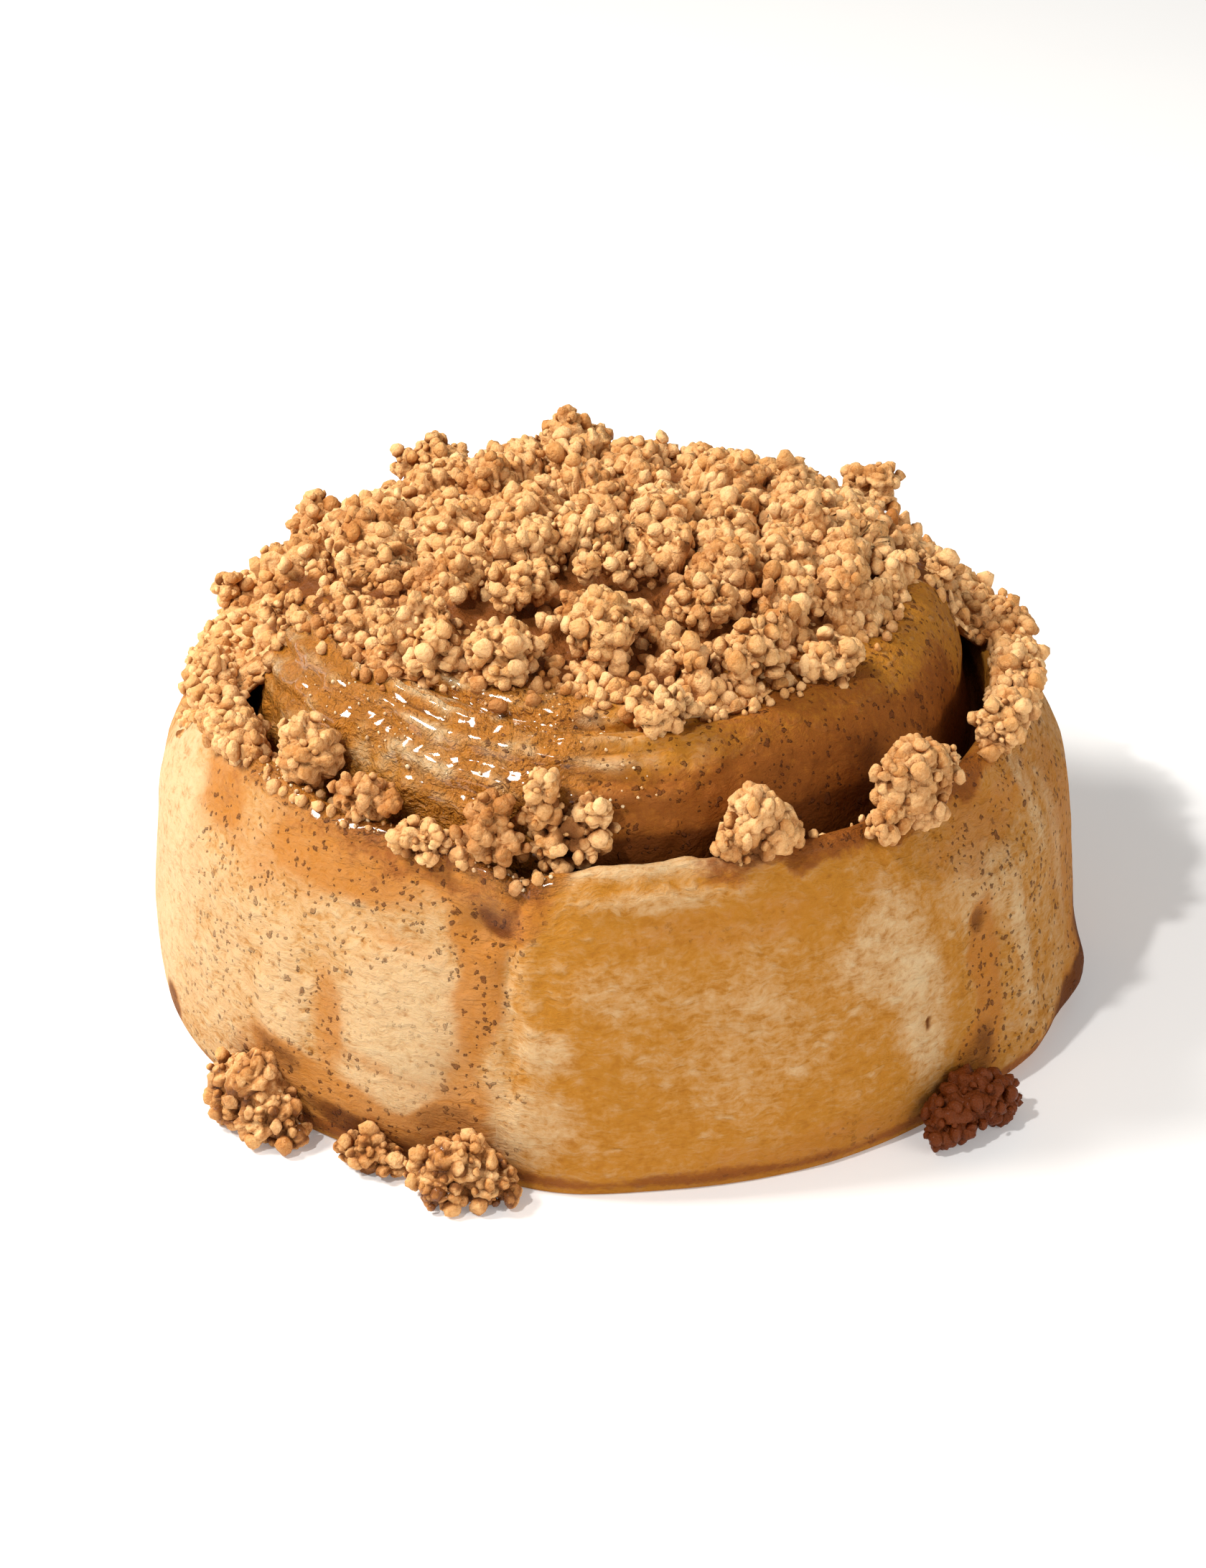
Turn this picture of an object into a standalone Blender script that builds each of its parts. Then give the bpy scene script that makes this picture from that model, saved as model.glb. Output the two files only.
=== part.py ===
"""A streusel bun: a coiled roll of soft dough with a risen centre, baked under crumb topping.

The roll is one solid. A heap of streusel lies over its centre and its rim, and larger lumps of
streusel sit along the front of the rim and at the foot, where they slid down with the glaze.
Sizes below are in millimetres and angles in degrees, turning from +X towards +Y. The front of
the bun faces -Y. The origin is the middle of the flat underside.
"""

import math
import random

import bmesh
import bpy
import numpy as np
from mathutils import Vector, noise

# Driving dimensions of the roll
WALL_RADIUS = 50.0
RIM_HEIGHT = 34.2
COIL_HEIGHT = 43.4
DOME_HEIGHT = 47.8
GAP_RADIUS = 38.2
GAP_OFFSET = 4.0
CREASE_STEP = 8.0
SEAM_ANGLE = 257.5
COLUMNS = 72

# How far every topping keeps from the dough, and how deep the heap is sunk before it is cut clear
CLEARANCE = 0.46
SINK = 1.2

# The heap of streusel: where its blanket stops on the coil and on the rim, and how thick it is
HEAP_COIL_EDGE = 31.0
HEAP_RIM_EDGE = 47.2
HEAP_RIM_FROM = 12.0
HEAP_RIM_TO = 186.0
HEAP_THICKNESS = 2.2
HEAP_RELIEF = 1.0
CLUSTERS = 74
GRAINS = 34
SEED = 7

# Its two arms along the rim, ahead of the blanket: first and last angle, radius, width and height
HEAP_ARMS = {
    "right_arm": (332.0, 19.0, 43.0, 5.4, 3.8),
    "left_arm": (176.0, 211.5, 42.6, 6.0, 4.2),
}

# Large clumps fused in the heap: angle, radius, centre height, then width, depth and height
HEAP_CLUMPS = {
    "front_left": (233.0, 29.0, 47.0, 7.2, 7.0, 9.6),
    "front_middle_left": (247.5, 28.4, 48.6, 9.0, 8.0, 9.0),
    "front_tall": (267.5, 23.6, 50.2, 8.6, 9.0, 9.0),
    "front_low": (278.0, 33.6, 46.4, 8.4, 7.2, 7.4),
    "front_right": (298.0, 28.8, 48.8, 8.8, 8.0, 7.8),
    "left_shoulder": (209.0, 28.5, 45.8, 8.8, 6.8, 6.0),
    "left_slope": (191.0, 34.0, 42.6, 8.6, 7.6, 5.4),
    "right_slope": (8.0, 34.6, 42.2, 8.6, 7.6, 5.4),
    "right_rim": (337.0, 43.4, 36.4, 9.4, 7.6, 6.4),
    "right_rim_middle": (351.0, 43.8, 35.6, 7.0, 6.4, 5.0),
    "right_rim_back": (6.0, 43.6, 35.6, 8.0, 6.6, 5.0),
    "back_left": (142.0, 43.0, 36.4, 10.2, 7.2, 7.6),
    "back_middle_left": (120.0, 43.2, 37.0, 11.2, 7.4, 8.0),
    "back_peak": (97.0, 43.0, 38.0, 11.6, 7.8, 9.4),
    "back_right": (47.0, 43.2, 37.0, 9.6, 7.4, 8.0),
    "left_rim_back": (163.0, 44.4, 36.2, 4.8, 4.8, 5.4),
    "left_rim_middle": (187.0, 42.4, 36.0, 7.2, 6.4, 5.4),
    "left_rim_front": (203.0, 42.6, 36.0, 7.6, 6.6, 5.4),
}

# Lumps that stand apart, with the same six numbers
RIM_LUMPS = {
    "rim_lump_1": (221.5, 41.0, 38.2, 7.0, 6.8, 8.4),
    "rim_lump_2": (235.0, 42.2, 37.0, 8.4, 6.0, 5.6),
    "rim_lump_3": (245.0, 44.4, 35.8, 7.0, 5.0, 4.8),
    "rim_lump_4": (254.2, 43.2, 37.8, 8.0, 7.0, 9.0),
    "rim_lump_5": (264.2, 42.0, 38.6, 9.6, 7.6, 11.4),
    "rim_lump_6": (288.7, 43.4, 37.6, 10.0, 7.8, 8.4),
    "rim_lump_7": (310.6, 45.0, 38.4, 13.0, 9.2, 10.4),
}
FOOT_LUMPS = {
    "foot_lump_1": (226.0, 52.6, 4.0, 15.0, 9.6, 10.6),
    "foot_lump_2": (241.8, 51.2, 2.2, 9.0, 6.6, 5.4),
    "foot_lump_3": (253.2, 52.4, 3.2, 13.4, 10.4, 8.8),
    "foot_lump_4": (313.5, 53.6, 3.4, 14.0, 9.4, 8.8),
}

DOUGH_COLOUR = (0.80, 0.58, 0.33, 1.0)
HEAP_COLOUR = (0.78, 0.52, 0.26, 1.0)
LUMP_COLOUR = (0.84, 0.60, 0.32, 1.0)
MM = 0.001


def bump(theta, centre, width):
    """A smooth hump of height 1 round the angle centre, both in degrees."""
    away = (theta - centre + 180.0) % 360.0 - 180.0
    return np.exp(-0.5 * (away / width) ** 2)


def ramp(theta, start, end):
    """0 at the angle start, 1 at the angle end, with a smooth step between them."""
    share = np.clip(((theta - start + 180.0) % 360.0 - 180.0) / (end - start), 0.0, 1.0)
    return share * share * (3.0 - 2.0 * share)


def wall_radius(theta):
    """Outer radius of the wall: slow waves, and a lap where the end of the strip is stuck on."""
    turn = np.radians(theta)
    waves = 0.15 * np.sin(2 * turn + 0.6) + 0.2 * np.sin(3 * turn + 2.0) + 0.12 * np.sin(7 * turn)
    lap = 0.8 * bump(theta, SEAM_ANGLE + 7, 6) - 0.6 * bump(theta, SEAM_ANGLE - 7, 6)
    return WALL_RADIUS + waves + lap + 0.9 * bump(theta, 294, 14)


def rim_height(theta):
    """Height of the rim's crest: highest at the front, with a dip at the seam."""
    turn = np.radians(theta)
    tilt = 1.3 * np.cos(turn - math.radians(270))
    waves = 0.3 * np.sin(3 * turn) + 0.2 * np.sin(5 * turn + 1.0)
    return RIM_HEIGHT + tilt + waves - 1.9 * bump(theta, SEAM_ANGLE + 1, 4)


def gap_radius(theta):
    """Radius of the groove between the outer wrap and the coil; it runs out towards the seam."""
    forward = GAP_OFFSET * bump(theta, 272, 36)
    return GAP_RADIUS + forward + 1.2 * bump(theta, SEAM_ANGLE + 4, 8) + 0.8 * bump(theta, 90, 60)


def gap_depth(theta):
    """Depth of the groove: open at the front right and the front left, nearly shut elsewhere."""
    open_right = 7.5 * bump(theta, 296, 13) + 5.0 * bump(theta, 336, 13)
    open_left = 6.5 * bump(theta, 227, 7) + 2.0 * bump(theta, 198, 10)
    return 2.6 + open_right + open_left


def gap_half_width(theta):
    """Half the groove's width at the rim's height."""
    return 0.9 + 0.8 * bump(theta, 299, 12) + 0.7 * bump(theta, 228, 6) + 0.6 * bump(theta, 340, 12)


def coil_height(theta):
    """Height of the coil's shoulder, highest at the front."""
    turn = np.radians(theta)
    return COIL_HEIGHT + 1.1 * np.cos(turn - math.radians(268)) + 0.3 * np.sin(3 * turn + 0.5)


def crease_depth(theta):
    """Depth of the crease of the next turn inwards, which shows at the front left."""
    return 1.3 * ramp(theta, 190, 215) * (1.0 - ramp(theta, 285, 310))


def foot_bulge(theta):
    """Drips of glaze that baked hard at the foot."""
    return 2.3 * bump(theta, 345, 4) + 1.9 * bump(theta, 329, 9) + 0.8 * bump(theta, 205, 6)


def roll_section(theta, gap_open=1.0):
    """Rows of radius and height, from the underside out, up the wall, into the gap and over the coil.

    Each row is an array over theta, so the section changes with the angle. gap_open of 0 leaves
    the groove out."""
    wall, crest = wall_radius(theta), rim_height(theta)
    gap, wide, deep = gap_radius(theta), gap_half_width(theta), gap_depth(theta) * gap_open
    coil, foot = coil_height(theta), foot_bulge(theta)
    rim = wall - gap - wide
    inner = gap - wide
    crease = inner - CREASE_STEP
    level = np.ones_like(theta)
    rows = [
        (wall - 2.4, 0.0 * level),
        (wall - 0.7 + 0.8 * foot, 0.9 * level),
        (wall + foot, 4.2 * level),
        (wall + 0.2 + 0.3 * foot, 9.5 * level),
        (wall - 0.5, 17.0 * level),
        (wall - 1.6, 24.0 * level),
        (wall - 0.44 * rim, crest - 4.6),
        (wall - 0.62 * rim, crest - 1.5),
        (wall - 0.80 * rim, crest),
        (wall - 0.95 * rim, crest - 0.6),
        (wall - rim, crest - 2.2),
        (gap, crest - 1.0 - deep),
        (inner, crest - 1.8),
        (inner - 0.5, crest + 2.2),
        (inner - 1.8, 0.42 * crest + 0.58 * coil),
        (inner - 3.8, coil - 1.1),
        (crease + 2.2, coil + 0.2),
        (crease, coil + 0.7 - crease_depth(theta)),
        (crease - 2.2, coil + 1.4),
        (0.46 * WALL_RADIUS * level, coil + 0.60 * (DOME_HEIGHT - coil)),
        (0.24 * WALL_RADIUS * level, coil + 0.90 * (DOME_HEIGHT - coil)),
    ]
    if gap_open:
        return rows
    bridge = [((gap + inner) / 2, crest - 0.6)]
    return rows[:10] + bridge + rows[13:16] + [(crease, coil + 0.9)] + rows[19:]


def top_height(radius, theta):
    """Height of the roll's upper side over the points given by radius and angle."""
    upper = roll_section(np.atleast_1d(theta), 0.0)[4:]
    radii = np.array([row[0] for row in upper])[::-1]
    heights = np.array([row[1] for row in upper])[::-1]
    radii = np.vstack([np.zeros(radii.shape[1]), radii])
    heights = np.vstack([np.full(heights.shape[1], DOME_HEIGHT), heights])
    wanted = np.broadcast_to(radius, radii.shape[1:])
    return np.array([np.interp(r, radii[:, k], heights[:, k]) for k, r in enumerate(wanted)])


def point(angle, radius, height):
    """The place at an angle, a radius and a height, in metres."""
    turn = math.radians(angle)
    return Vector((radius * math.cos(turn), radius * math.sin(turn), height)) * MM


def material(name, colour, roughness):
    """A plain finish."""
    made = bpy.data.materials.new(name)
    made.use_nodes = True
    shader = made.node_tree.nodes["Principled BSDF"]
    shader.inputs["Base Color"].default_value = colour
    shader.inputs["Roughness"].default_value = roughness
    shader.inputs["Metallic"].default_value = 0.0
    return made


def loft(name, rows, theta, low, high):
    """A closed skin through rows of radius and height, shut by a point on the axis at each end."""
    turn = np.radians(theta)
    rings = np.array([[r * np.cos(turn), r * np.sin(turn), z] for r, z in rows])
    points = np.moveaxis(rings, 1, 2).reshape(-1, 3)
    points = np.vstack([points, [[0.0, 0.0, low], [0.0, 0.0, high]]]) * MM
    count, columns = len(rows), len(theta)
    row, column = np.meshgrid(np.arange(count - 1), np.arange(columns), indexing="ij")
    after = (column + 1) % columns
    corners = [row * columns + column, row * columns + after]
    corners += [(row + 1) * columns + after, (row + 1) * columns + column]
    faces = np.stack(corners, -1).reshape(-1, 4).tolist()
    ring = np.arange(columns)
    following = (ring + 1) % columns
    bottom, top = count * columns, count * columns + 1
    last = (count - 1) * columns
    faces += np.stack([following, ring, np.full(columns, bottom)], -1).tolist()
    faces += np.stack([last + ring, last + following, np.full(columns, top)], -1).tolist()
    mesh = bpy.data.meshes.new(name)
    mesh.from_pydata(points.tolist(), [], faces)
    mesh.update()
    return bpy.data.objects.new(name, mesh)


def make_roll():
    """The dough: one solid, lofted through sections that differ round the axis."""
    theta = np.arange(COLUMNS) * 360.0 / COLUMNS + SEAM_ANGLE
    roll = loft("roll", roll_section(theta), theta, 0.0, DOME_HEIGHT)
    roll.data.shade_smooth()
    roll.data.set_sharp_from_angle(angle=math.radians(50))
    return roll


def make_cutter():
    """The roll without its groove, grown by the clearance; it trims whatever lies on the dough."""
    theta = np.arange(0, COLUMNS, 2) * 360.0 / COLUMNS + SEAM_ANGLE
    cutter = loft("dough_clearance", roll_section(theta, 0.0), theta, 0.0, DOME_HEIGHT)
    count = len(cutter.data.vertices)
    places = np.empty(count * 3, np.float32)
    normals = np.empty(count * 3, np.float32)
    cutter.data.vertices.foreach_get("co", places)
    cutter.data.vertex_normals.foreach_get("vector", normals)
    cutter.data.vertices.foreach_set("co", places + normals * CLEARANCE * MM)
    cutter.hide_render = True
    cutter.display_type = "WIRE"
    return cutter


def directions(centre):
    """The level directions away from the bun's axis and along its edge, at a place."""
    outward = Vector((centre.x, centre.y, 0.0)).normalized()
    return outward, Vector((-outward.y, outward.x, 0.0))


def rough_ball(name, centre, size, faces, draw, roughness=0.16):
    """A ball of few faces, squashed to a width, depth and height, with its points pushed in and out.

    faces is 1 for 20 triangles or 2 for 80. Its width lies along the bun's edge at that place."""
    shape = bmesh.new()
    bmesh.ops.create_icosphere(shape, subdivisions=faces, radius=0.5)
    offset = Vector((draw.uniform(0, 50), draw.uniform(0, 50), draw.uniform(0, 50)))
    outward, across = directions(centre)
    spin = draw.uniform(0.0, math.tau)
    for vertex in shape.verts:
        push = 1.0 + roughness * 2.0 * noise.noise(vertex.co * 5.0 + offset)
        x = vertex.co.x * math.cos(spin) - vertex.co.y * math.sin(spin)
        y = vertex.co.x * math.sin(spin) + vertex.co.y * math.cos(spin)
        placed = outward * (x * size[1]) + across * (y * size[0])
        placed.z = vertex.co.z * size[2]
        vertex.co = centre + placed * push * MM
    mesh = bpy.data.meshes.new(name)
    shape.to_mesh(mesh)
    shape.free()
    return bpy.data.objects.new(name, mesh)


def nodules(name, centre, size, count, draw):
    """Small balls spread evenly over a lump, as grains of streusel stuck together."""
    made = []
    outward, across = directions(centre)
    golden = math.pi * (3.0 - math.sqrt(5.0))
    for k in range(count):
        up = 0.95 - 1.35 * (k + 0.5) / count
        flat = math.sqrt(max(0.0, 1.0 - up * up))
        turn = golden * k + draw.uniform(-0.3, 0.3)
        place = across * (size[0] * flat * math.cos(turn)) + outward * (size[1] * flat * math.sin(turn))
        place.z = size[2] * up
        grain = draw.uniform(0.26, 0.36) * min(size)
        made.append(rough_ball(f"{name}_{k}", centre + place * 0.40 * MM, (grain,) * 3, 1, draw))
    return made


def keep_largest(mesh):
    """Drops the loose scraps that a cut can leave, keeping the body with the most points."""
    shape = bmesh.new()
    shape.from_mesh(mesh)
    unseen = set(shape.verts)
    bodies = []
    while unseen:
        edge = [unseen.pop()]
        body = set(edge)
        while edge:
            vertex = edge.pop()
            near = {link.other_vert(vertex) for link in vertex.link_edges} & unseen
            unseen -= near
            body |= near
            edge.extend(near)
        bodies.append(body)
    bodies.sort(key=len)
    scraps = [vertex for body in bodies[:-1] for vertex in body]
    bmesh.ops.delete(shape, geom=scraps, context="VERTS")
    shape.to_mesh(mesh)
    shape.free()


def grown_hull(neighbour, gap):
    """A convex skin a little outside a finished lump, which keeps the next lump off it."""
    shape = bmesh.new()
    shape.from_mesh(neighbour.data)
    made = bmesh.ops.convex_hull(shape, input=shape.verts)
    inside = [item for item in made["geom_interior"] if isinstance(item, bmesh.types.BMVert)]
    bmesh.ops.delete(shape, geom=inside, context="VERTS")
    hull = [item for item in made["geom"] if isinstance(item, bmesh.types.BMFace)]
    spare = [face for face in shape.faces if face not in set(hull)]
    bmesh.ops.delete(shape, geom=spare, context="FACES_KEEP_BOUNDARY")
    bmesh.ops.recalc_face_normals(shape, faces=shape.faces)
    shape.normal_update()
    moves = [vertex.normal * gap * MM for vertex in shape.verts]
    for vertex, move in zip(shape.verts, moves):
        vertex.co += move
    mesh = bpy.data.meshes.new(neighbour.name + "_clearance")
    shape.to_mesh(mesh)
    shape.free()
    return bpy.data.objects.new(mesh.name, mesh)


def fuse(core, pieces, cutters, node, finish):
    """One Boolean joins the pieces to their core; the others trim them clear of what is there."""
    scene = bpy.context.scene.collection
    group = bpy.data.collections.new(core.name + "_pieces")
    scene.children.link(group)
    scene.objects.link(core)
    for piece in pieces:
        group.objects.link(piece)
    if pieces:
        join = core.modifiers.new("join", "BOOLEAN")
        join.operation = "UNION"
        join.operand_type = "COLLECTION"
        join.collection = group
        join.solver = "MANIFOLD"
    for cutter in cutters:
        trim = core.modifiers.new("trim", "BOOLEAN")
        trim.operation = "DIFFERENCE"
        trim.object = cutter
        trim.solver = "MANIFOLD"
    graph = bpy.context.evaluated_depsgraph_get()
    mesh = bpy.data.meshes.new_from_object(core.evaluated_get(graph))
    keep_largest(mesh)
    mesh.name = node
    for spare in [*pieces, core]:
        bpy.data.objects.remove(spare)
    bpy.data.collections.remove(group)
    made = bpy.data.objects.new(node, mesh)
    mesh.materials.clear()
    mesh.materials.append(finish)
    return made


def heap_edge(theta):
    """How far out the heap reaches: over the rim at the back, and on the coil at the front."""
    turn = np.radians(theta)
    around = np.mod(theta, 360.0)
    front = np.where(around > 270.0, 1.0 - ramp(theta, -4, HEAP_RIM_FROM), 1.0)
    front = np.where(around < 90.0, 1.0 - ramp(theta, -4, HEAP_RIM_FROM), front)
    front = np.where((around >= 90.0) & (around <= 270.0), ramp(theta, HEAP_RIM_TO, 200), front)
    wave = 0.9 * np.sin(5 * turn + 1.0) + 0.6 * np.sin(9 * turn)
    coil_edge = HEAP_COIL_EDGE + wave - 2.6 * bump(theta, 318, 10) + 1.6 * bump(theta, 275, 10)
    return HEAP_RIM_EDGE + 0.4 * wave + (coil_edge - HEAP_RIM_EDGE - 0.4 * wave) * front


def heap_base(radius, theta):
    """Height of the ground the heap lies on; it bridges the dip between the coil and the rim."""
    around = [top_height(np.maximum(radius + step, 0.0), theta) for step in (-2.0, 0.0, 2.0)]
    inside_rim = 1.0 / (1.0 + np.exp((radius - HEAP_RIM_EDGE + 2.2) * 2.5))
    ground = np.maximum(np.mean(around, axis=0), around[1])
    return np.maximum(ground, (rim_height(theta) + 0.6) * inside_rim)


def heap_top(radius, theta):
    """Height of the heap's blanket: thickest inside, thinning to its edge, and uneven."""
    share = np.clip(radius / heap_edge(theta), 0.0, 1.0)
    lumps = [
        noise.noise(Vector((r * math.cos(t), r * math.sin(t), 3.0)) * 0.17)
        for r, t in zip(np.broadcast_to(radius, theta.shape), np.radians(theta))
    ]
    relief = HEAP_RELIEF * 2.0 * np.clip(radius / 25.0, 0.0, 1.0)
    thick = HEAP_THICKNESS + relief * np.array(lumps)
    return heap_base(radius, theta) + np.maximum(thick, 1.1) * (1.0 - share**12)


def make_heap_core():
    """The blanket over the roll, sunk a little so that the dough trims its underside."""
    theta = np.arange(0.0, 360.0, 7.5)
    edge = heap_edge(theta)
    inner, outer = (0.4, 0.75, 0.95), (0.97, 0.91, 0.83, 0.76, 0.66, 0.48, 0.26)
    under = [(s * edge, heap_base(s * edge, theta) - SINK - 2.5 * s**4) for s in inner]
    over = [(s * edge, heap_top(s * edge, theta)) for s in outer]
    lip = [(edge, heap_base(edge, theta) - 0.6)]
    return loft("heap_core", under + lip + over, theta, DOME_HEIGHT - SINK, DOME_HEIGHT + HEAP_THICKNESS)


def make_arm(name, start, end, radius, width, height):
    """A ridge of streusel along the rim, lofted through rings that shrink to its two ends."""
    stations = np.linspace(start, end + (360.0 if end < start else 0.0), 9)
    taper = np.sqrt(np.clip(1.0 - np.linspace(-0.96, 0.96, 9) ** 4, 0.0, 1.0))
    around = np.arange(8) * math.pi / 4
    points, faces = [], []
    for angle, full in zip(stations, taper):
        ground = float(rim_height(np.array([angle]))[0]) + 0.3
        for turn in around:
            out = radius + 0.5 * width * full * math.cos(turn)
            points.append(point(angle, out, ground + 0.5 * height * full * math.sin(turn)))
    for k in range(8):
        for j in range(8):
            after = (j + 1) % 8
            faces.append((8 * k + j, 8 * k + after, 8 * k + 8 + after, 8 * k + 8 + j))
    faces += [tuple(range(7, -1, -1)), tuple(range(64, 72))]
    mesh = bpy.data.meshes.new(name)
    mesh.from_pydata(points, [], faces)
    shape = bmesh.new()
    shape.from_mesh(mesh)
    bmesh.ops.recalc_face_normals(shape, faces=shape.faces)
    shape.to_mesh(mesh)
    shape.free()
    return bpy.data.objects.new(name, mesh)


def scatter(count, draw, low, high, flat, faces):
    """Rough balls at even spacing over the heap, by the sunflower rule."""
    golden = 180.0 * (3.0 - math.sqrt(5.0))
    first = draw.uniform(0.0, 360.0)
    made = []
    for k in range(count):
        angle = (first + k * golden + draw.uniform(-3.0, 3.0)) % 360.0
        radius = HEAP_RIM_EDGE * math.sqrt((k + draw.uniform(0.2, 1.0)) / count)
        size = draw.uniform(low, high) * (1.0 if radius < 36.0 else 0.8)
        at = np.array([angle])
        if radius > float(heap_edge(at)[0]) - 0.35 * size:
            continue
        height = float(heap_top(np.array([radius]), at)[0])
        centre = point(angle, radius, height - (0.0 if radius < 36.0 else 0.15 * size))
        name = f"crumb_{count}_{k}"
        made.append(rough_ball(name, centre, (size, size, size * flat), faces, draw))
    return made


def make_heap(cutters, finish):
    """The heap of streusel: its blanket with clusters, grains, arms and the large clumps fused on."""
    draw = random.Random(SEED)
    pieces = scatter(CLUSTERS, draw, 4.4, 8.4, 0.74, 1)
    pieces += [make_arm(name, *numbers) for name, numbers in HEAP_ARMS.items()]
    for name, (angle, radius, height, *size) in HEAP_CLUMPS.items():
        centre = point(angle, radius, height)
        pieces.append(rough_ball(name, centre, size, 2, draw))
        pieces += nodules(name, centre, size, 2, draw)
    pieces += scatter(GRAINS, draw, 2.6, 3.6, 1.0, 1)
    return fuse(make_heap_core(), pieces, cutters, "streusel_heap", finish)


def make_lump(node, place, count, cutters, finish, draw):
    """One lump that stands apart, with its grains fused on."""
    angle, radius, height, *size = place
    centre = point(angle, radius, height)
    core = rough_ball(node + "_core", centre, size, 2, draw)
    return fuse(core, nodules(node, centre, size, count, draw), cutters, node, finish)


def make_floor_cutter():
    """A slab under the bun's base plane, which flattens the lumps that stand on the table."""
    shape = bmesh.new()
    bmesh.ops.create_cube(shape, size=1.0)
    for vertex in shape.verts:
        vertex.co = Vector((vertex.co.x * 0.2, vertex.co.y * 0.2, (vertex.co.z - 0.5) * 0.02))
    mesh = bpy.data.meshes.new("below_floor")
    shape.to_mesh(mesh)
    shape.free()
    slab = bpy.data.objects.new("below_floor", mesh)
    slab.hide_render = True
    slab.display_type = "WIRE"
    return slab


def main():
    """Builds the roll, the heap and the lumps into one collection."""
    for spare in list(bpy.data.objects):
        bpy.data.objects.remove(spare, do_unlink=True)
    scene = bpy.context.scene.collection
    parts = bpy.data.collections.new("streusel_bun")
    cutters = bpy.data.collections.new("cutters")
    cutters.hide_render = True
    scene.children.link(parts)
    scene.children.link(cutters)

    roll = make_roll()
    roll.data.materials.append(material("dough", DOUGH_COLOUR, 0.45))
    trims = [make_cutter(), make_floor_cutter()]
    for trim in trims:
        cutters.objects.link(trim)
    parts.objects.link(roll)
    parts.objects.link(make_heap(trims, material("streusel", HEAP_COLOUR, 0.7)))

    lump_finish = material("streusel_lump", LUMP_COLOUR, 0.75)
    draw = random.Random(SEED + 1)
    for lumps in (RIM_LUMPS, FOOT_LUMPS):
        near = list(trims)
        for node, place in lumps.items():
            lump = make_lump(node, place, 3, near, lump_finish, draw)
            parts.objects.link(lump)
            near = [*trims, grown_hull(lump, CLEARANCE)]
            cutters.objects.link(near[-1])
            near[-1].hide_render = True
            near[-1].display_type = "WIRE"


main()
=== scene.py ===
"""Looks of a streusel bun: a coiled, glazed roll under a heap and loose lumps of crumb topping.

Lengths are in millimetres and angles in degrees until a mesh is made, where they become metres.
Angles turn from +X towards +Y, so the front of the bun is at 270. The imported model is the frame:
every piece here lies where its solids are.
"""

import logging
import math
from dataclasses import dataclass, field
from enum import Enum, IntEnum

import bpy
import numpy as np
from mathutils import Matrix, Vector


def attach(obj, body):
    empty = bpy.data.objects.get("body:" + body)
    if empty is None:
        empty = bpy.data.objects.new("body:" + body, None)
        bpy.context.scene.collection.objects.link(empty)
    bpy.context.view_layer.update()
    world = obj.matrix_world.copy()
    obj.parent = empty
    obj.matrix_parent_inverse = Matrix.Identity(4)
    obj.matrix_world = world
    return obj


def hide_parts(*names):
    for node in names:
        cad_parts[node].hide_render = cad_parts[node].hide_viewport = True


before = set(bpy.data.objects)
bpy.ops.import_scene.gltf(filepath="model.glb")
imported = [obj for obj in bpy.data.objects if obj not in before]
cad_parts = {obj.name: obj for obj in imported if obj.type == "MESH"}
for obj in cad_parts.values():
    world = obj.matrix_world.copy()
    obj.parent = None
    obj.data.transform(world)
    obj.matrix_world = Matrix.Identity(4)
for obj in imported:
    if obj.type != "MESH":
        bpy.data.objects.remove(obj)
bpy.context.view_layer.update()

log = logging.getLogger("streusel_bun")

Array = np.ndarray
Colour = tuple[float, float, float]
MM = 0.001
GOLDEN_TURN = 180.0 * (3.0 - math.sqrt(5.0))
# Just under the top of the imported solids, so that no crumb stands out of their box.
TOP_LIMIT = 54.4


def bump(theta: Array, centre: float, width: float) -> Array:
    """A smooth hump of height 1: e to the minus half the square of the angle away over the width.

    Args:
        theta: angles.
        centre: angle of the hump's top.
        width: angle at which the hump has fallen to six tenths.

    Returns:
        The hump's height at each angle.
    """
    away = (theta - centre + 180.0) % 360.0 - 180.0
    return np.exp(-0.5 * (away / width) ** 2)


def ramp(theta: Array, start: float, end: float) -> Array:
    """A smooth step in angle: three times the share squared less twice the share cubed.

    Args:
        theta: angles.
        start: angle where the step begins, at 0.
        end: angle where it ends, at 1.

    Returns:
        The step's height at each angle.
    """
    share = np.clip(((theta - start + 180.0) % 360.0 - 180.0) / (end - start), 0.0, 1.0)
    return share * share * (3.0 - 2.0 * share)


def band(value: Array, low: float, high: float, soft: float) -> Array:
    """1 between two limits and 0 outside, as the product of two logistic steps.

    Args:
        value: numbers to test.
        low: lower limit.
        high: upper limit.
        soft: distance over which each edge fades.

    Returns:
        The band's strength for each number.
    """
    rise = 1.0 / (1.0 + np.exp(np.clip(-(value - low) / soft * 4.0, -60.0, 60.0)))
    fall = 1.0 / (1.0 + np.exp(np.clip((value - high) / soft * 4.0, -60.0, 60.0)))
    return rise * fall


def unit(vectors: Array) -> Array:
    """Each vector divided by its length."""
    return vectors / np.maximum(np.linalg.norm(vectors, axis=-1, keepdims=True), 1e-12)


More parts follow.
